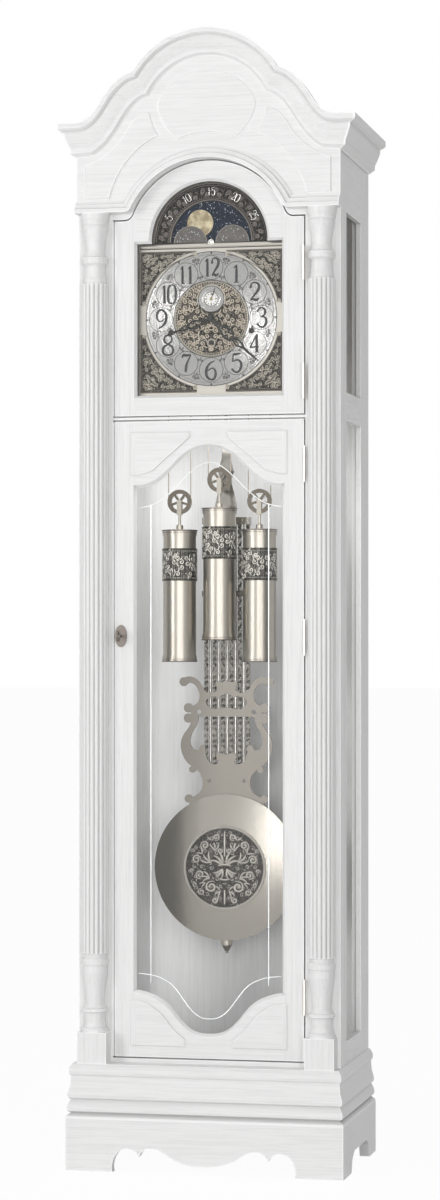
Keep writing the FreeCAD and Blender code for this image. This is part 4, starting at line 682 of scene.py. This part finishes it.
def dial_disc(name, place, radius, material, body, floor=None, segments=48):
    """Flat round plate that faces the front, cut off below a level."""
    shape = bmesh.new()
    bmesh.ops.create_circle(shape, cap_ends=True, segments=segments, radius=radius * MM)
    bmesh.ops.rotate(shape, verts=shape.verts, cent=(0.0, 0.0, 0.0),
                     matrix=Matrix.Rotation(math.radians(90.0), 3, "X"))
    bmesh.ops.translate(shape, verts=shape.verts, vec=place)
    if floor is not None:
        bmesh.ops.bisect_plane(shape, geom=shape.verts[:] + shape.edges[:] + shape.faces[:],
                               plane_co=(0.0, 0.0, floor * MM), plane_no=(0.0, 0.0, -1.0),
                               clear_outer=True)
    ride(place_mesh(name, shape, material), body)


def add_block(name, low, high, material, body):
    """Block between two corners, its edges softened."""
    shape = bmesh.new()
    bmesh.ops.create_cube(shape, size=1.0)
    bmesh.ops.scale(shape, vec=[b - a for a, b in zip(low, high)], verts=shape.verts)
    bmesh.ops.translate(shape, vec=[(a + b) / 2 for a, b in zip(low, high)], verts=shape.verts)
    bmesh.ops.bevel(shape, geom=shape.edges[:], offset=0.3 * MM, offset_type="OFFSET", segments=1,
                    profile=0.5, affect="EDGES", material=-1)
    ride(place_mesh(name, shape, material), body)


# Painted numerals, drawn as thick and thin brush strokes in a box one high

DIGITS = {
    "1": [
        [(0.02, 1.0, 0.5), (0.02, 0.5, 1.0), (0.02, 0.0, 0.7)],
        [(-0.2, 0.82, 0.25), (-0.06, 0.9, 0.5), (0.02, 1.0, 0.5)],
        [(-0.18, 0.0, 0.25), (0.02, 0.02, 0.4), (0.22, 0.0, 0.25)],
    ],
    "2": [
        [(-0.28, 0.72, 0.9), (-0.3, 0.98, 0.4), (0.02, 1.06, 0.5), (0.36, 0.92, 0.9),
         (0.3, 0.6, 1.0), (0.0, 0.34, 0.7), (-0.3, 0.03, 0.45)],
        [(-0.3, 0.03, 0.45), (-0.1, 0.15, 0.9), (0.15, -0.03, 1.0), (0.34, 0.17, 0.3)],
    ],
    "3": [
        [(-0.28, 0.82, 0.6), (-0.2, 1.05, 0.5), (0.2, 1.05, 0.7), (0.32, 0.8, 0.95),
         (0.18, 0.56, 0.6), (-0.06, 0.54, 0.4)],
        [(-0.06, 0.54, 0.4), (0.26, 0.57, 0.7), (0.4, 0.3, 1.0), (0.28, -0.03, 0.8),
         (-0.12, -0.06, 0.5), (-0.32, 0.16, 0.8)],
    ],
    "4": [
        [(0.16, 1.0, 0.5), (-0.1, 0.62, 0.5), (-0.34, 0.28, 0.5)],
        [(-0.34, 0.28, 0.5), (0.0, 0.29, 0.5), (0.36, 0.31, 0.4)],
        [(0.16, 1.0, 0.6), (0.16, 0.5, 1.0), (0.16, 0.0, 0.8)],
        [(0.0, 0.0, 0.25), (0.16, 0.02, 0.4), (0.32, 0.0, 0.25)],
    ],
    "5": [
        [(-0.2, 0.98, 0.8), (0.05, 0.93, 0.9), (0.32, 1.03, 0.4)],
        [(-0.2, 0.98, 0.5), (-0.24, 0.75, 0.5), (-0.26, 0.54, 0.5)],
        [(-0.26, 0.54, 0.4), (0.0, 0.7, 0.5), (0.36, 0.56, 0.9), (0.38, 0.2, 1.0),
         (0.16, -0.07, 0.7), (-0.16, -0.05, 0.5), (-0.32, 0.15, 0.8)],
    ],
    "6": [
        [(0.26, 1.0, 0.3), (-0.08, 0.92, 0.6), (-0.36, 0.6, 1.0), (-0.38, 0.16, 1.0),
         (-0.1, -0.07, 0.6), (0.24, -0.05, 0.8), (0.36, 0.26, 0.95), (0.27, 0.55, 0.6),
         (0.0, 0.63, 0.4), (-0.26, 0.44, 0.4)],
    ],
    "7": [
        [(-0.3, 0.82, 0.5), (-0.24, 1.04, 0.9), (0.0, 0.91, 1.0), (0.34, 1.0, 0.5)],
        [(0.34, 1.0, 0.4), (0.1, 0.6, 0.7), (-0.03, 0.3, 1.0), (-0.03, 0.0, 0.9)],
    ],
    "8": [
        [(0.0, 0.55, 0.5), (-0.3, 0.66, 0.8), (-0.28, 1.0, 0.8), (0.0, 1.07, 0.5), (0.28, 1.0, 0.6),
         (0.3, 0.68, 0.6), (0.0, 0.55, 0.6)],
        [(0.0, 0.55, 0.6), (-0.38, 0.46, 0.9), (-0.4, 0.0, 0.9), (0.0, -0.09, 0.5), (0.4, 0.0, 0.9),
         (0.38, 0.46, 0.7), (0.0, 0.55, 0.5)],
    ],
    "0": [
        [(0.0, 1.03, 0.4), (-0.32, 1.02, 0.8), (-0.38, 0.5, 1.0), (-0.32, -0.02, 0.8),
         (0.0, -0.03, 0.4), (0.32, -0.02, 0.8), (0.38, 0.5, 1.0), (0.32, 1.02, 0.8),
         (0.0, 1.03, 0.4)],
    ],
}
DIGITS["9"] = [[(-u, 1.0 - v, w) for u, v, w in stroke] for stroke in DIGITS["6"]]


def numeral(text, u, v, high, wide, pitch, weight, degrees=0.0):
    """Strokes of a number centred on a place, upright or turned."""
    strokes = []
    for i, digit in enumerate(text):
        shift = (i - (len(text) - 1) / 2) * pitch
        for stroke in DIGITS[digit]:
            flat = [(a * wide + shift, (b - 0.5) * high, c * weight) for a, b, c in stroke]
            strokes.append(moved(turned_about(flat, degrees), u, v))
    return strokes


# Chapter ring: numerals, roundels, small scrolls, minute dots

CHAPTER_FRONT = 22.5
HOURS = 12
NUMERAL_RADIUS = 99.0
NUMERAL_HIGH = 34.0
NUMERAL_PITCH = 15.5
NUMERAL_WEIGHT = 3.2
ONE_DIGIT_WIDE = 27.0
TWO_DIGITS_WIDE = 21.0
ROUNDEL_RADIUS = 23.5
MINUTE_RADIUS = 127.2
SPRIG_WEIGHT = 1.25
OUTER_SPRIG = [
    curl(-4.2, 0.0, 4.0, 0.0, 1.1, 0.75), curl(4.2, 0.0, 4.0, 180.0, 1.1, 0.75, -1),
    leaf(0.0, -2.0, 90.0, 9.0, 1.2, 0.0), leaf(-1.5, -2.5, 215.0, 7.0, 0.9),
    leaf(1.5, -2.5, 325.0, 7.0, 0.9, -0.25), leaf(0.0, -3.0, 270.0, 8.0, 1.0, 0.0),
]
INNER_SPRIG = [
    leaf(0.0, 3.0, 270.0, 7.0, 1.0, 0.0), curl(-3.0, 2.5, 2.8, 0.0, 1.0, 0.6),
    curl(3.0, 2.5, 2.8, 180.0, 1.0, 0.6, -1),
]


def dress_chapter_ring():
    hours, roundels, sprigs, dots = [], [], [], []
    for hour in range(1, HOURS + 1):
        turn = 360.0 * hour / HOURS
        u, v = round_place(NUMERAL_RADIUS, turn)
        text = str(hour)
        wide = ONE_DIGIT_WIDE if len(text) == 1 else TWO_DIGITS_WIDE
        hours += numeral(text, u, v, NUMERAL_HIGH, wide, NUMERAL_PITCH, NUMERAL_WEIGHT)
        roundels.append(ring(ROUNDEL_RADIUS, 0.65, 32, u, v))
        between = turn + 180.0 / HOURS
        for strokes, radius in ((OUTER_SPRIG, 116.5), (INNER_SPRIG, 80.0)):
            place = round_place(radius, between)
            for stroke in strokes:
                heavy = [(a, b, w * SPRIG_WEIGHT) for a, b, w in stroke]
                sprigs.append(moved(turned_about(heavy, between), *place))
    for minute in range(60):
        size = 1.9 if minute % 5 == 0 else 0.6
        dots.append(dot(*round_place(MINUTE_RADIUS, minute * 6.0), size))
    lines = [ring(r, w, 96) for r, w in ((129.6, 0.7), (124.4, 0.3), (74.2, 0.9))]
    for name, strokes, material, share, closed in (
            ("chapter_numerals", hours, BLACK, 0.06, False),
            ("chapter_roundels", roundels, LINE, 0.35, True),
            ("chapter_sprigs", sprigs, LINE, 0.35, False),
            ("minute_dots", dots, BLACK, 0.2, False),
            ("chapter_lines", lines, LINE, 0.5, True)):
        stroke_piece(name, strokes, on_dial(CHAPTER_FRONT), material, "case",
                     flat=(CHAPTER_FRONT, share), closed=closed)


# Seconds ring

MARK_LIFT = 0.1


def dress_seconds():
    flat_ring("seconds_face", SECONDS_Z, 22.7, 3.0, 18.8, SECONDS_METAL)
    flat_ring("seconds_inner", SECONDS_Z, 22.4, 3.0, 13.6, BRIGHT)
    face = on_dial(CHAPTER_FRONT, SECONDS_Z)
    ticks = []
    for step in range(12):
        start, width = (7.6, 0.95) if step % 3 == 0 else (9.4, 0.7)
        ticks.append([(*round_place(radius, step * 30.0), width) for radius in (start, 12.2)])
    stroke_piece("seconds_marks", ticks, face, BLACK, "case", MARK_LIFT,
                 (CHAPTER_FRONT - MARK_LIFT, 0.2))
    rims = [ring(r, w, 40) for r, w in ((25.4, 0.9), (13.6, 0.6))]
    stroke_piece("seconds_rims", rims, face, LINE, "case", flat=(CHAPTER_FRONT, 0.3), closed=True)


# Cast ornament of the dial: centre, corners, moon arch and humps

ORNAMENT_FRONT = 22.8
SUNK = -0.2
GOING_DROP = 47.0
SECONDS_CLEAR = 31.0
CENTRE_BEADS = 88
CORNER_EDGE = 141.0
CORNER_TOP = 131.0
CORNER_BEND = 90.0


def swirl(u, v, size, facing, hand):
    """One curl with two leaves springing from it."""
    c, s = math.cos(math.radians(facing)), math.sin(math.radians(facing))
    tip = (u + size * c, v + size * s)
    return [curl(u, v, size, facing, 1.2, size * 0.15, hand),
            leaf(*tip, facing + hand * 70.0, size * 1.7, size * 0.22, 0.3 * hand),
            leaf(*tip, facing - hand * 40.0, size * 1.2, size * 0.17, -0.3 * hand)]


def strewn(count, seed, apart, reach, inside):
    """Places without a pattern, no two closer than a distance."""
    dice = random.Random(seed)
    places = []
    for _ in range(count * 40):
        u, v = dice.uniform(*reach[0]), dice.uniform(*reach[1])
        if inside(u, v) and all(math.hypot(u - a, v - b) > apart for a, b, _ in places):
            places.append((u, v, dice.uniform(0.0, 360.0)))
        if len(places) == count:
            break
    return places


def swirls(places, size):
    strokes = []
    for index, (u, v, turn) in enumerate(places):
        strokes += swirl(u, v, size, turn, 1 if index % 2 else -1)
    return strokes


def dress_centre():
    """Scrolling acanthus round the hands, the same on both sides."""
    def clear(u, v):
        return (8.0 < math.hypot(u, v) < 65.0 and math.hypot(u, v + GOING_DROP) > 11.0
                and math.hypot(u, v - (SECONDS_Z - DIAL_Z)) > SECONDS_CLEAR)

    flat_ring("centre_ground", DIAL_Z, 23.3, 6.6, 37.0, GROUND)
    surface = on_dial(ORNAMENT_FRONT)
    right = swirls(strewn(56, 3, 9.6, ((2.0, 66.0), (-66.0, 66.0)), clear), 5.6)
    stroke_piece("centre_scrolls", both_sides(right), surface, CENTRE_CAST, "case", SUNK)
    beads = bead_row(69.8, [step * 360.0 / CENTRE_BEADS for step in range(CENTRE_BEADS)], 1.2)
    stroke_piece("centre_beads", beads, surface, CENTRE_CAST, "case")
    rims = [ring(72.0, 0.9, 72), ring(67.4, 0.6, 72), ring(7.6, 0.9, 20, 0.0, -GOING_DROP)]
    stroke_piece("centre_rims", rims, surface, PEWTER, "case", closed=True)


def crossed(stroke):
    """The stroke mirrored over the corner's diagonal."""
    return [(v, u, w) for u, v, w in stroke]


def dress_corners():
    """One corner of scrolls inside a raised edge, set in four places."""
    def clear(u, v):
        return v < u and math.hypot(u, v) > CORNER_EDGE and v > 38.0

    half = [curl(134.0, 32.5, 4.6, 100.0, 1.4, 1.3), curl(129.0, 31.0, 3.0, 100.0, 1.2, 1.0, -1)]
    half += swirls(strewn(40, 5, 7.2, ((60.0, 133.5), (30.0, 133.5)), clear), 4.6)
    whole = half + [crossed(stroke) for stroke in half]
    edges = []
    for at, low, high, width in ((CORNER_EDGE, 30.0, 140.6, 1.2), (137.8, 34.0, 137.8, 0.7)):
        upright = [(at, v, width) for v in (low, 85.0, high)]
        edges += [upright, crossed(upright)]
    edges.append(arc(135.6, 13.0, 77.0, 1.0, 18))
    scrolls, frames = [], []
    for across in (1, -1):
        for up in (1, -1):
            shift = CORNER_EDGE - CORNER_TOP if up > 0 else 0.0
            for source, target in ((whole, scrolls), (edges, frames)):
                for stroke in source:
                    target.append([
                        (across * u, up * (v - shift * max(v - CORNER_BEND, 0.0)
                                           / (CORNER_EDGE - CORNER_BEND)), w)
                        for u, v, w in stroke])
    surface = on_dial(ORNAMENT_FRONT)
    stroke_piece("corner_scrolls", scrolls, surface, PEWTER, "case", SUNK)
    stroke_piece("corner_frames", frames, surface, DARK_CAST, "case", 0.2)


ARCH_BEADS = 57
ARCH_SPRIG = [
    curl(-3.5, 3.0, 5.5, 0.0, 1.4, 1.2), curl(4.5, -4.0, 5.0, 180.0, 1.4, 1.1),
    leaf(0.0, -9.0, 60.0, 11.0, 1.4), leaf(-6.0, -6.0, 120.0, 10.0, 1.3, -0.2),
    leaf(6.0, 6.0, 300.0, 10.0, 1.2), leaf(1.0, 8.0, 160.0, 8.0, 1.1),
]


def dress_moon_arch():
    """Scroll band with day numbers over the moon window."""
    surface = on_dial(CHAPTER_FRONT, ARCH_Z)
    scrolls, numbers = [], []
    for step in range(12):
        turn = -82.5 + step * 15.0
        place = round_place(96.0, turn)
        scrolls += [moved(turned_about(stroke, turn), *place) for stroke in ARCH_SPRIG]
    for index, day in enumerate(("5", "10", "15", "20", "25")):
        turn = -60.0 + index * 30.0
        numbers += numeral(day, *round_place(97.5, turn), 15.0, 10.0, 8.0, 1.15, turn)
    rims = [arc(radius, -90.0, 90.0, width, steps) for radius, width, steps in (
        (113.0, 1.3, 60), (109.0, 0.6, 60), (80.8, 1.4, 48), (84.2, 0.7, 48))]
    turns = [-88.0 + step * 176.0 / (ARCH_BEADS - 1) for step in range(ARCH_BEADS)]
    stroke_piece("moon_arch_scrolls", scrolls, surface, DARK_CAST, "case", -0.4)
    stroke_piece("moon_arch_numbers", numbers, surface, BRIGHT, "case", 0.2)
    stroke_piece("moon_arch_rims", rims, surface, DARK_CAST, "case")
    stroke_piece("moon_arch_beads", bead_row(86.3, turns, 1.1), surface, DARK_CAST, "case")


# Moon disc and the two humps below its window

SKY_REACH = 96.0
STAR_SIZES = (0.45, 0.55, 0.7, 0.95)
STAR_SHARE = 0.3
STAR_FACE = 26.8
MOON_FACE = 26.2
MOON_ORBIT = (22.5, 43.8)
MOON_RADIUS = 26.0
HUMP_Z = ARCH_Z - 1.5
HUMP_X = 41.4
HUMP_FRONT = 23.9


def add_stars(name, count, seed, inside, face, z, body):
    """Small dots strewn without a pattern over the places that a test allows."""
    dice = random.Random(seed)
    dots = []
    while len(dots) < count:
        u, v = dice.uniform(-SKY_REACH, SKY_REACH), dice.uniform(-SKY_REACH, SKY_REACH)
        size = dice.choice(STAR_SIZES)
        if inside(u, v):
            dots.append(dot(u, v, size))
    stroke_piece(name, dots, on_dial(face, z), STAR_PAINT, body, flat=(face, STAR_SHARE))


def dress_humps():
    """Two half discs strewn with stars below the sky."""
    def on_hump(u, v):
        return v > 2.0 and min(math.hypot(u - HUMP_X, v), math.hypot(u + HUMP_X, v)) < 29.5

    rims = []
    for side, name in ((-1, "moon_hump_left"), (1, "moon_hump_right")):
        place = spot(side * HUMP_X, HUMP_FRONT, HUMP_Z)
        dial_disc(name, place, 32.6, SMOKED, "case", HUMP_Z)
        rims.append(arc(31.8, -90.0, 90.0, 0.6, 28, side * HUMP_X))
    stroke_piece("moon_hump_rims", rims, on_dial(24.0, HUMP_Z), DARK_CAST, "case")
    add_stars("moon_hump_stars", 46, 11, on_hump, HUMP_FRONT, HUMP_Z, "case")


def dress_moon():
    """Stars and the two moons of the turning disc."""
    across, up = MOON_ORBIT

    def open_sky(u, v):
        apart = min(math.hypot(u + across, v - up), math.hypot(u - across, v + up))
        return 14.0 < math.hypot(u, v) < 95.0 and apart > MOON_RADIUS + 2.0

    add_stars("moon_disc_stars", 420, 7, open_sky, STAR_FACE, MOON_Z, "moon")
    for name, side in (("moon_face_up", -1), ("moon_face_down", 1)):
        place = spot(side * across, MOON_FACE, MOON_Z - side * up)
        dial_disc(name, place, MOON_RADIUS, MOON, "moon")


BAR_DROP = 7.0
TAB_DROP = 1.5
TAB_RISE = 0.5


def dress_bar():
    """Bright bar with its tab between dial and arch."""
    bar = [(u, 0.0, 5.2) for u in (-140.0, 0.0, 140.0)]
    stroke_piece("dial_bar", [bar], on_dial(CHAPTER_FRONT, ARCH_Z - BAR_DROP), FLAT_METAL, "case",
                 flat=(CHAPTER_FRONT, 0.16))
    tab = on_dial(CHAPTER_FRONT, ARCH_Z - TAB_DROP)
    rim = ring(4.6, 1.6, 20, 0.0, TAB_RISE)
    stroke_piece("dial_tab_rim", [rim], tab, BRIGHT, "case", 0.4, closed=True)
    stroke_piece("dial_tab_stud", [dot(0.0, TAB_RISE, 3.2)], tab, BRIGHT, "case", 0.2,
                 (CHAPTER_FRONT, 0.5))


# Hands: open serpentine outlines, pointed at the tip, as shares of a hand's length

MINUTE_HAND = (127.0, 132.0, 14.8, "minute_hand", "centre")
HOUR_HAND = (96.0, 251.0, 18.4, "hour_hand", "hour")
HAND_WEIGHT = 1.35
HAND_SIDE = [
    [(0.0, 0.06, 2.2), (0.030, 0.12, 1.7), (0.018, 0.20, 1.5), (0.055, 0.29, 1.6),
     (0.085, 0.37, 1.5), (0.050, 0.44, 1.5), (0.012, 0.48, 1.4), (0.035, 0.53, 1.3),
     (0.048, 0.58, 1.2), (0.018, 0.64, 1.3), (0.0, 0.70, 1.4)],
    [(0.062, 0.33, 1.2), (0.032, 0.36, 1.3), (0.030, 0.40, 1.1), (0.055, 0.41, 1.0)],
]
HAND_STEM = [(0.66, 2.0), (0.8, 2.2), (0.9, 1.6), (1.0, 0.4)]
HAND_NECK = [(0.0, 2.4), (0.06, 2.4), (0.13, 1.6)]


def add_hand(length, degrees, distance, node, body):
    half = [[(u * length, v * length, w * HAND_WEIGHT) for u, v, w in stroke]
            for stroke in HAND_SIDE]
    middle = [[(0.0, v * length, w) for v, w in stroke] for stroke in (HAND_STEM, HAND_NECK)]
    boss = arc(4.6, 0.0, 360.0, 3.0, 20)
    strokes = [turned_about(stroke, degrees) for stroke in both_sides(half) + middle + [boss]]
    depth = distance + 0.5
    piece = stroke_piece(node + "_serpentine", strokes, on_dial(depth), BLACK, body,
                         flat=(depth, 0.22))
    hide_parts(node)


# Small blocks: winding squares, the cap of the hands, beads that close the door gaps

WINDING = {"strike": (-80.0, -25.0), "going": (0.0, -GOING_DROP), "chime": (80.0, -25.0)}
SQUARE_HALF = 3.7
CAP_FRONT = 13.1


def add_small_blocks():
    for train, (x, drop) in WINDING.items():
        z = DIAL_Z + drop
        add_block("winding_square_" + train, spot(x - SQUARE_HALF, 21.4, z - SQUARE_HALF),
                  spot(x + SQUARE_HALF, 22.6, z + SQUARE_HALF), BLACK, train)
    stroke_piece("hand_cap", [dot(0.0, 0.0, 5.4)], on_dial(CAP_FRONT), BLACK, "centre",
                 flat=(CAP_FRONT, 0.26))
    for name, right, low, high in (("trunk_door_bead", -188.5, 217.0, 1447.0),
                                   ("hood_door_bead", -188.7, 1458.0, 1836.0)):
        add_block(name, spot(-190.2, 1.2, low), spot(right, 9.0, high), OAK_POSTS, "case")


# Weights: scroll band, beaded lines and cables

BAND_DROP = 37.0
BAND_HIGH = 63.0
BAND_RADIUS = 34.0
BAND_BEADS = 54
WEIGHT_LONG = 259.0
WEIGHT_DEPTH = 97.0
LIP_STEPS = 40
CABLE_RUN = 22.3
PULLEY_RISE = 55.0
# Radius and height of the sleeve's outline
BAND_OUTLINE = [
    (34.0, -31.6), (34.4, -31.6), (34.4, -29.0), (34.06, -28.4),
    (34.06, 28.4), (34.4, 29.0), (34.4, 31.6), (34.0, 31.6),
]


def dress_weight(side):
    x, top, _ = WEIGHTS[side]
    body = "weight_" + side
    middle = top - BAND_DROP - BAND_HIGH / 2
    outline = [spot(x + radius, WEIGHT_DEPTH, middle + z) for radius, z in BAND_OUTLINE]
    turned_piece("weight_band_" + side, outline, spot(x, WEIGHT_DEPTH, middle), (0.0, 0.0, 1.0),
                 48, BAND_GROUND, body)
    surface = on_drum(x, WEIGHT_DEPTH, middle, BAND_RADIUS)
    around = math.tau * BAND_RADIUS
    places = strewn(52, 9, 9.8, ((0.0, around), (-22.5, 22.5)), lambda u, v: True)
    stroke_piece("weight_scrolls_" + side, swirls(places, 5.8), surface, BAND_CAST, body, -0.3)
    beads = [dot(step * around / BAND_BEADS, level, 1.0)
             for step in range(BAND_BEADS) for level in (-26.3, 26.3)]
    stroke_piece("weight_beads_" + side, beads, surface, PEWTER, body)
    lips = []
    for level, thick in ((-1.4, 1.5), (-5.6, 0.6), (1.4 - WEIGHT_LONG, 1.5),
                         (5.6 - WEIGHT_LONG, 0.6)):
        lips.append([(step * around / LIP_STEPS, top - middle + level, thick)
                     for step in range(LIP_STEPS)])
    stroke_piece("weight_lips_" + side, lips, surface, DARK_CAST, body, 0.1, closed=True)


def add_cable(side):
    """Cable down from the barrel, round the pulley and up again."""
    x, top, barrel = WEIGHTS[side]
    hub = top + PULLEY_RISE
    rise = barrel - hub
    down = [(-CABLE_RUN, v) for v in (rise, rise / 2, 30.0, 4.0)]
    bottom = [(CABLE_RUN * math.sin(math.radians(a)), -CABLE_RUN * math.cos(math.radians(a)))
              for a in range(-90, 91, 15)]
    route = down + bottom + [(-u, v) for u, v in reversed(down)]
    piece = stroke_piece("weight_cable_" + side, [[(u, v, 1.0) for u, v in route]],
                         lambda u, v, lift: spot(x + u, WEIGHT_DEPTH - lift, hub + v),
                         CABLE_STEEL, None, sides=2)
    spot(x, WEIGHT_DEPTH, barrel)
    spot(x, WEIGHT_DEPTH, hub)
    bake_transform(piece)
    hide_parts("cable_" + side)


# Pendulum: twisted rods, rivets and the medallion

PENDULUM_DEPTH = 157.0
LYRE_FRONT = 159.8
GRID_DEPTH = 167.6
GRID_SPAN = 42.5
GRID_RODS = 11
ROD_LOW = 757.0
ROD_HIGH = 1254.0
TWIST_HALF = 3.1
TWIST_LENGTH = 17.0
TWIST_STEPS = 160
STUD_RISE = 3.5
MEDALLION_FRONT = 143.5
MEDALLION_RADIUS = 78.2
CORD_TURNS = 110


def rod_places(first):
    """Every second rod of the grid, across."""
    return [GRID_SPAN * (2.0 * index / (GRID_RODS - 1) - 1.0)
            for index in range(first, GRID_RODS, 2)]


def add_twisted_rods():
    """Every second rod of the grid is a square bar twisted along its length."""
    bars = bmesh.new()
    high = ROD_HIGH - ROD_LOW
    for x in rod_places(0):
        foot = spot(x, GRID_DEPTH, ROD_LOW)
        square = bmesh.ops.create_circle(bars, cap_ends=False, segments=4,
                                         radius=TWIST_HALF * math.sqrt(2.0) * MM)["verts"]
        bmesh.ops.translate(bars, verts=square, vec=foot)
        edges = list(dict.fromkeys(edge for vert in square for edge in vert.link_edges))
        bmesh.ops.spin(bars, geom=square + edges, cent=foot, axis=(0.0, 0.0, 1.0),
                       dvec=(0.0, 0.0, high * MM / TWIST_STEPS),
                       angle=math.tau * high / TWIST_LENGTH, steps=TWIST_STEPS)
    bmesh.ops.reverse_faces(bars, faces=bars.faces)
    ride(place_mesh("twisted_rods", bars, ROD_METAL, outward=True), "pendulum")


def add_rivets():
    """Rivets that hold the rods to the lyre, and studs on the clip and the top bar."""
    studs = rod_places(1)
    for name, places, front, z, size in (
            ("lyre_rivets", (-35.0, 35.0), LYRE_FRONT, 747.0, 3.4),
            ("clip_studs", studs, GRID_DEPTH - STUD_RISE, 1117.0, 2.2),
            ("top_bar_studs", studs, PENDULUM_DEPTH - STUD_RISE, 1260.5, 2.2)):
        stroke_piece(name, [dot(x, z, size) for x in places], on_dial(front, 0.0), ROD_METAL,
                     "pendulum")


# Curls on the right of the medallion: place, radius, start, turns, width, hand
MEDALLION_CURLS = [
    (27.0, -38.0, 13.0, 120.0, 1.5, 2.3, -1), (50.0, -14.0, 10.0, 250.0, 1.5, 1.9, 1),
    (57.0, 16.0, 10.0, 200.0, 1.5, 1.9, -1), (40.0, 44.0, 10.0, 280.0, 1.5, 1.9, 1),
    (17.0, 60.0, 8.0, 320.0, 1.4, 1.6, -1), (20.0, -64.0, 8.0, 60.0, 1.4, 1.6, 1),
    (47.0, -48.0, 8.0, 120.0, 1.4, 1.6, -1), (66.0, -6.0, 5.5, 200.0, 1.3, 1.2, 1),
    (14.0, -14.0, 6.0, 300.0, 1.4, 1.4, 1), (9.0, 34.0, 6.5, 100.0, 1.4, 1.5, 1),
    (64.0, 33.0, 5.5, 250.0, 1.3, 1.2, 1), (60.0, -34.0, 6.0, 160.0, 1.3, 1.3, 1),
]
# Sprays of leaves: place, angles, length, width, bend
MEDALLION_SPRAYS = [
    (3.0, 4.0, (12.0, 38.0, 64.0), 30.0, 3.2, 0.22),
    (4.0, -2.0, (-15.0, -42.0, -70.0), 24.0, 2.8, -0.22),
    (28.0, 10.0, (20.0, 55.0, 88.0), 24.0, 2.6, -0.2),
    (30.0, -20.0, (-5.0, -40.0, 35.0), 20.0, 2.4, 0.2),
    (20.0, 32.0, (40.0, 75.0, 110.0), 20.0, 2.3, 0.2),
    (8.0, -46.0, (-80.0, -45.0, 30.0), 18.0, 2.3, 0.2),
    (38.0, -30.0, (-60.0, -20.0), 16.0, 2.0, 0.2),
    (44.0, 26.0, (0.0, 60.0), 16.0, 2.0, 0.2),
    (26.0, 52.0, (30.0, 100.0), 15.0, 1.9, 0.2),
]
MEDALLION_SPINE = [
    [(0.0, -72.0, 2.0), (0.0, -58.0, 3.0), (0.0, -44.0, 2.0)],
    [(0.0, 22.0, 2.0), (0.0, 46.0, 3.4), (0.0, 72.0, 1.6)],
    [(-12.0, 4.0, 2.0), (0.0, 9.0, 3.0), (12.0, 4.0, 2.0)],
    [(-10.0, -22.0, 2.0), (0.0, -26.0, 3.0), (10.0, -22.0, 2.0)],
]
CORD_STRAND = [(-1.4, -1.8, 1.1), (0.0, 0.0, 1.4), (1.4, 1.8, 1.1)]


def dress_medallion():
    """Wheel of scrolls inside a corded rim."""
    def clear(u, v):
        return math.hypot(u, v) < 71.0

    dial_disc("medallion_ground", spot(0.0, MEDALLION_FRONT - 0.15, BOB_Z), MEDALLION_RADIUS,
              MEDAL_GROUND, "pendulum", segments=64)
    right = [curl(*line) for line in MEDALLION_CURLS]
    for u, v, angles, length, width, bend in MEDALLION_SPRAYS:
        right += [leaf(u, v, angle, length, width, bend) for angle in angles]
    right += swirls(strewn(30, 21, 11.0, ((4.0, 74.0), (-74.0, 74.0)), clear), 6.0)
    stroke_piece("medallion_scrolls", both_sides(right) + MEDALLION_SPINE,
                 on_dial(MEDALLION_FRONT, BOB_Z), MEDAL_CAST, "pendulum", -0.6)
    cord = []
    for step in range(CORD_TURNS):
        turn = step * 360.0 / CORD_TURNS
        cord.append(moved(turned_about(CORD_STRAND, turn), *round_place(80.5, turn)))
    stroke_piece("medallion_cord", cord, on_dial(MEDALLION_FRONT - 1.2, BOB_Z), MEDAL_CAST,
                 "pendulum")


# Engraved lines in the trunk door's pane: a wave at top and foot, crossed by two uprights

PANE_FRONT = 8.0
GROOVE_WIDTH = 1.1
GROOVE_SIDE = 116.5
PANE_TOP = [(140.0, 1280.0), (116.5, 1284.0), (100.0, 1292.0), (70.0, 1316.0), (44.0, 1344.0),
            (20.0, 1363.0), (0.0, 1368.0)]
PANE_FOOT = [(140.0, 378.0), (118.0, 376.0), (98.0, 371.0), (76.0, 360.0), (58.0, 338.0),
             (38.0, 309.0), (18.0, 294.0), (0.0, 292.0)]


def add_glass_line():
    left_top = [(-u, v) for u, v in PANE_TOP]
    left_foot = [(-u, v) for u, v in PANE_FOOT]
    lines = [left_top + PANE_TOP[-2::-1], PANE_FOOT + left_foot[-2::-1]]
    lines += [[(side * GROOVE_SIDE, v) for v in (360.0, 830.0, 1286.0)] for side in (1, -1)]
    strokes = [[(u, v, GROOVE_WIDTH) for u, v in line] for line in lines]
    stroke_piece("pane_groove", strokes, lambda u, v, lift: spot(u, PANE_FRONT - lift, v), GROOVE,
                 "trunk_door", flat=(PANE_FRONT, 0.12))


# Dress the whole clock

dress_chapter_ring()
dress_seconds()
dress_centre()
dress_corners()
dress_moon_arch()
dress_humps()
dress_moon()
dress_bar()
add_hand(*MINUTE_HAND)
add_hand(*HOUR_HAND)
for side in WEIGHTS:
    dress_weight(side)
    add_cable(side)
add_twisted_rods()
add_rivets()
dress_medallion()
add_glass_line()
add_small_blocks()
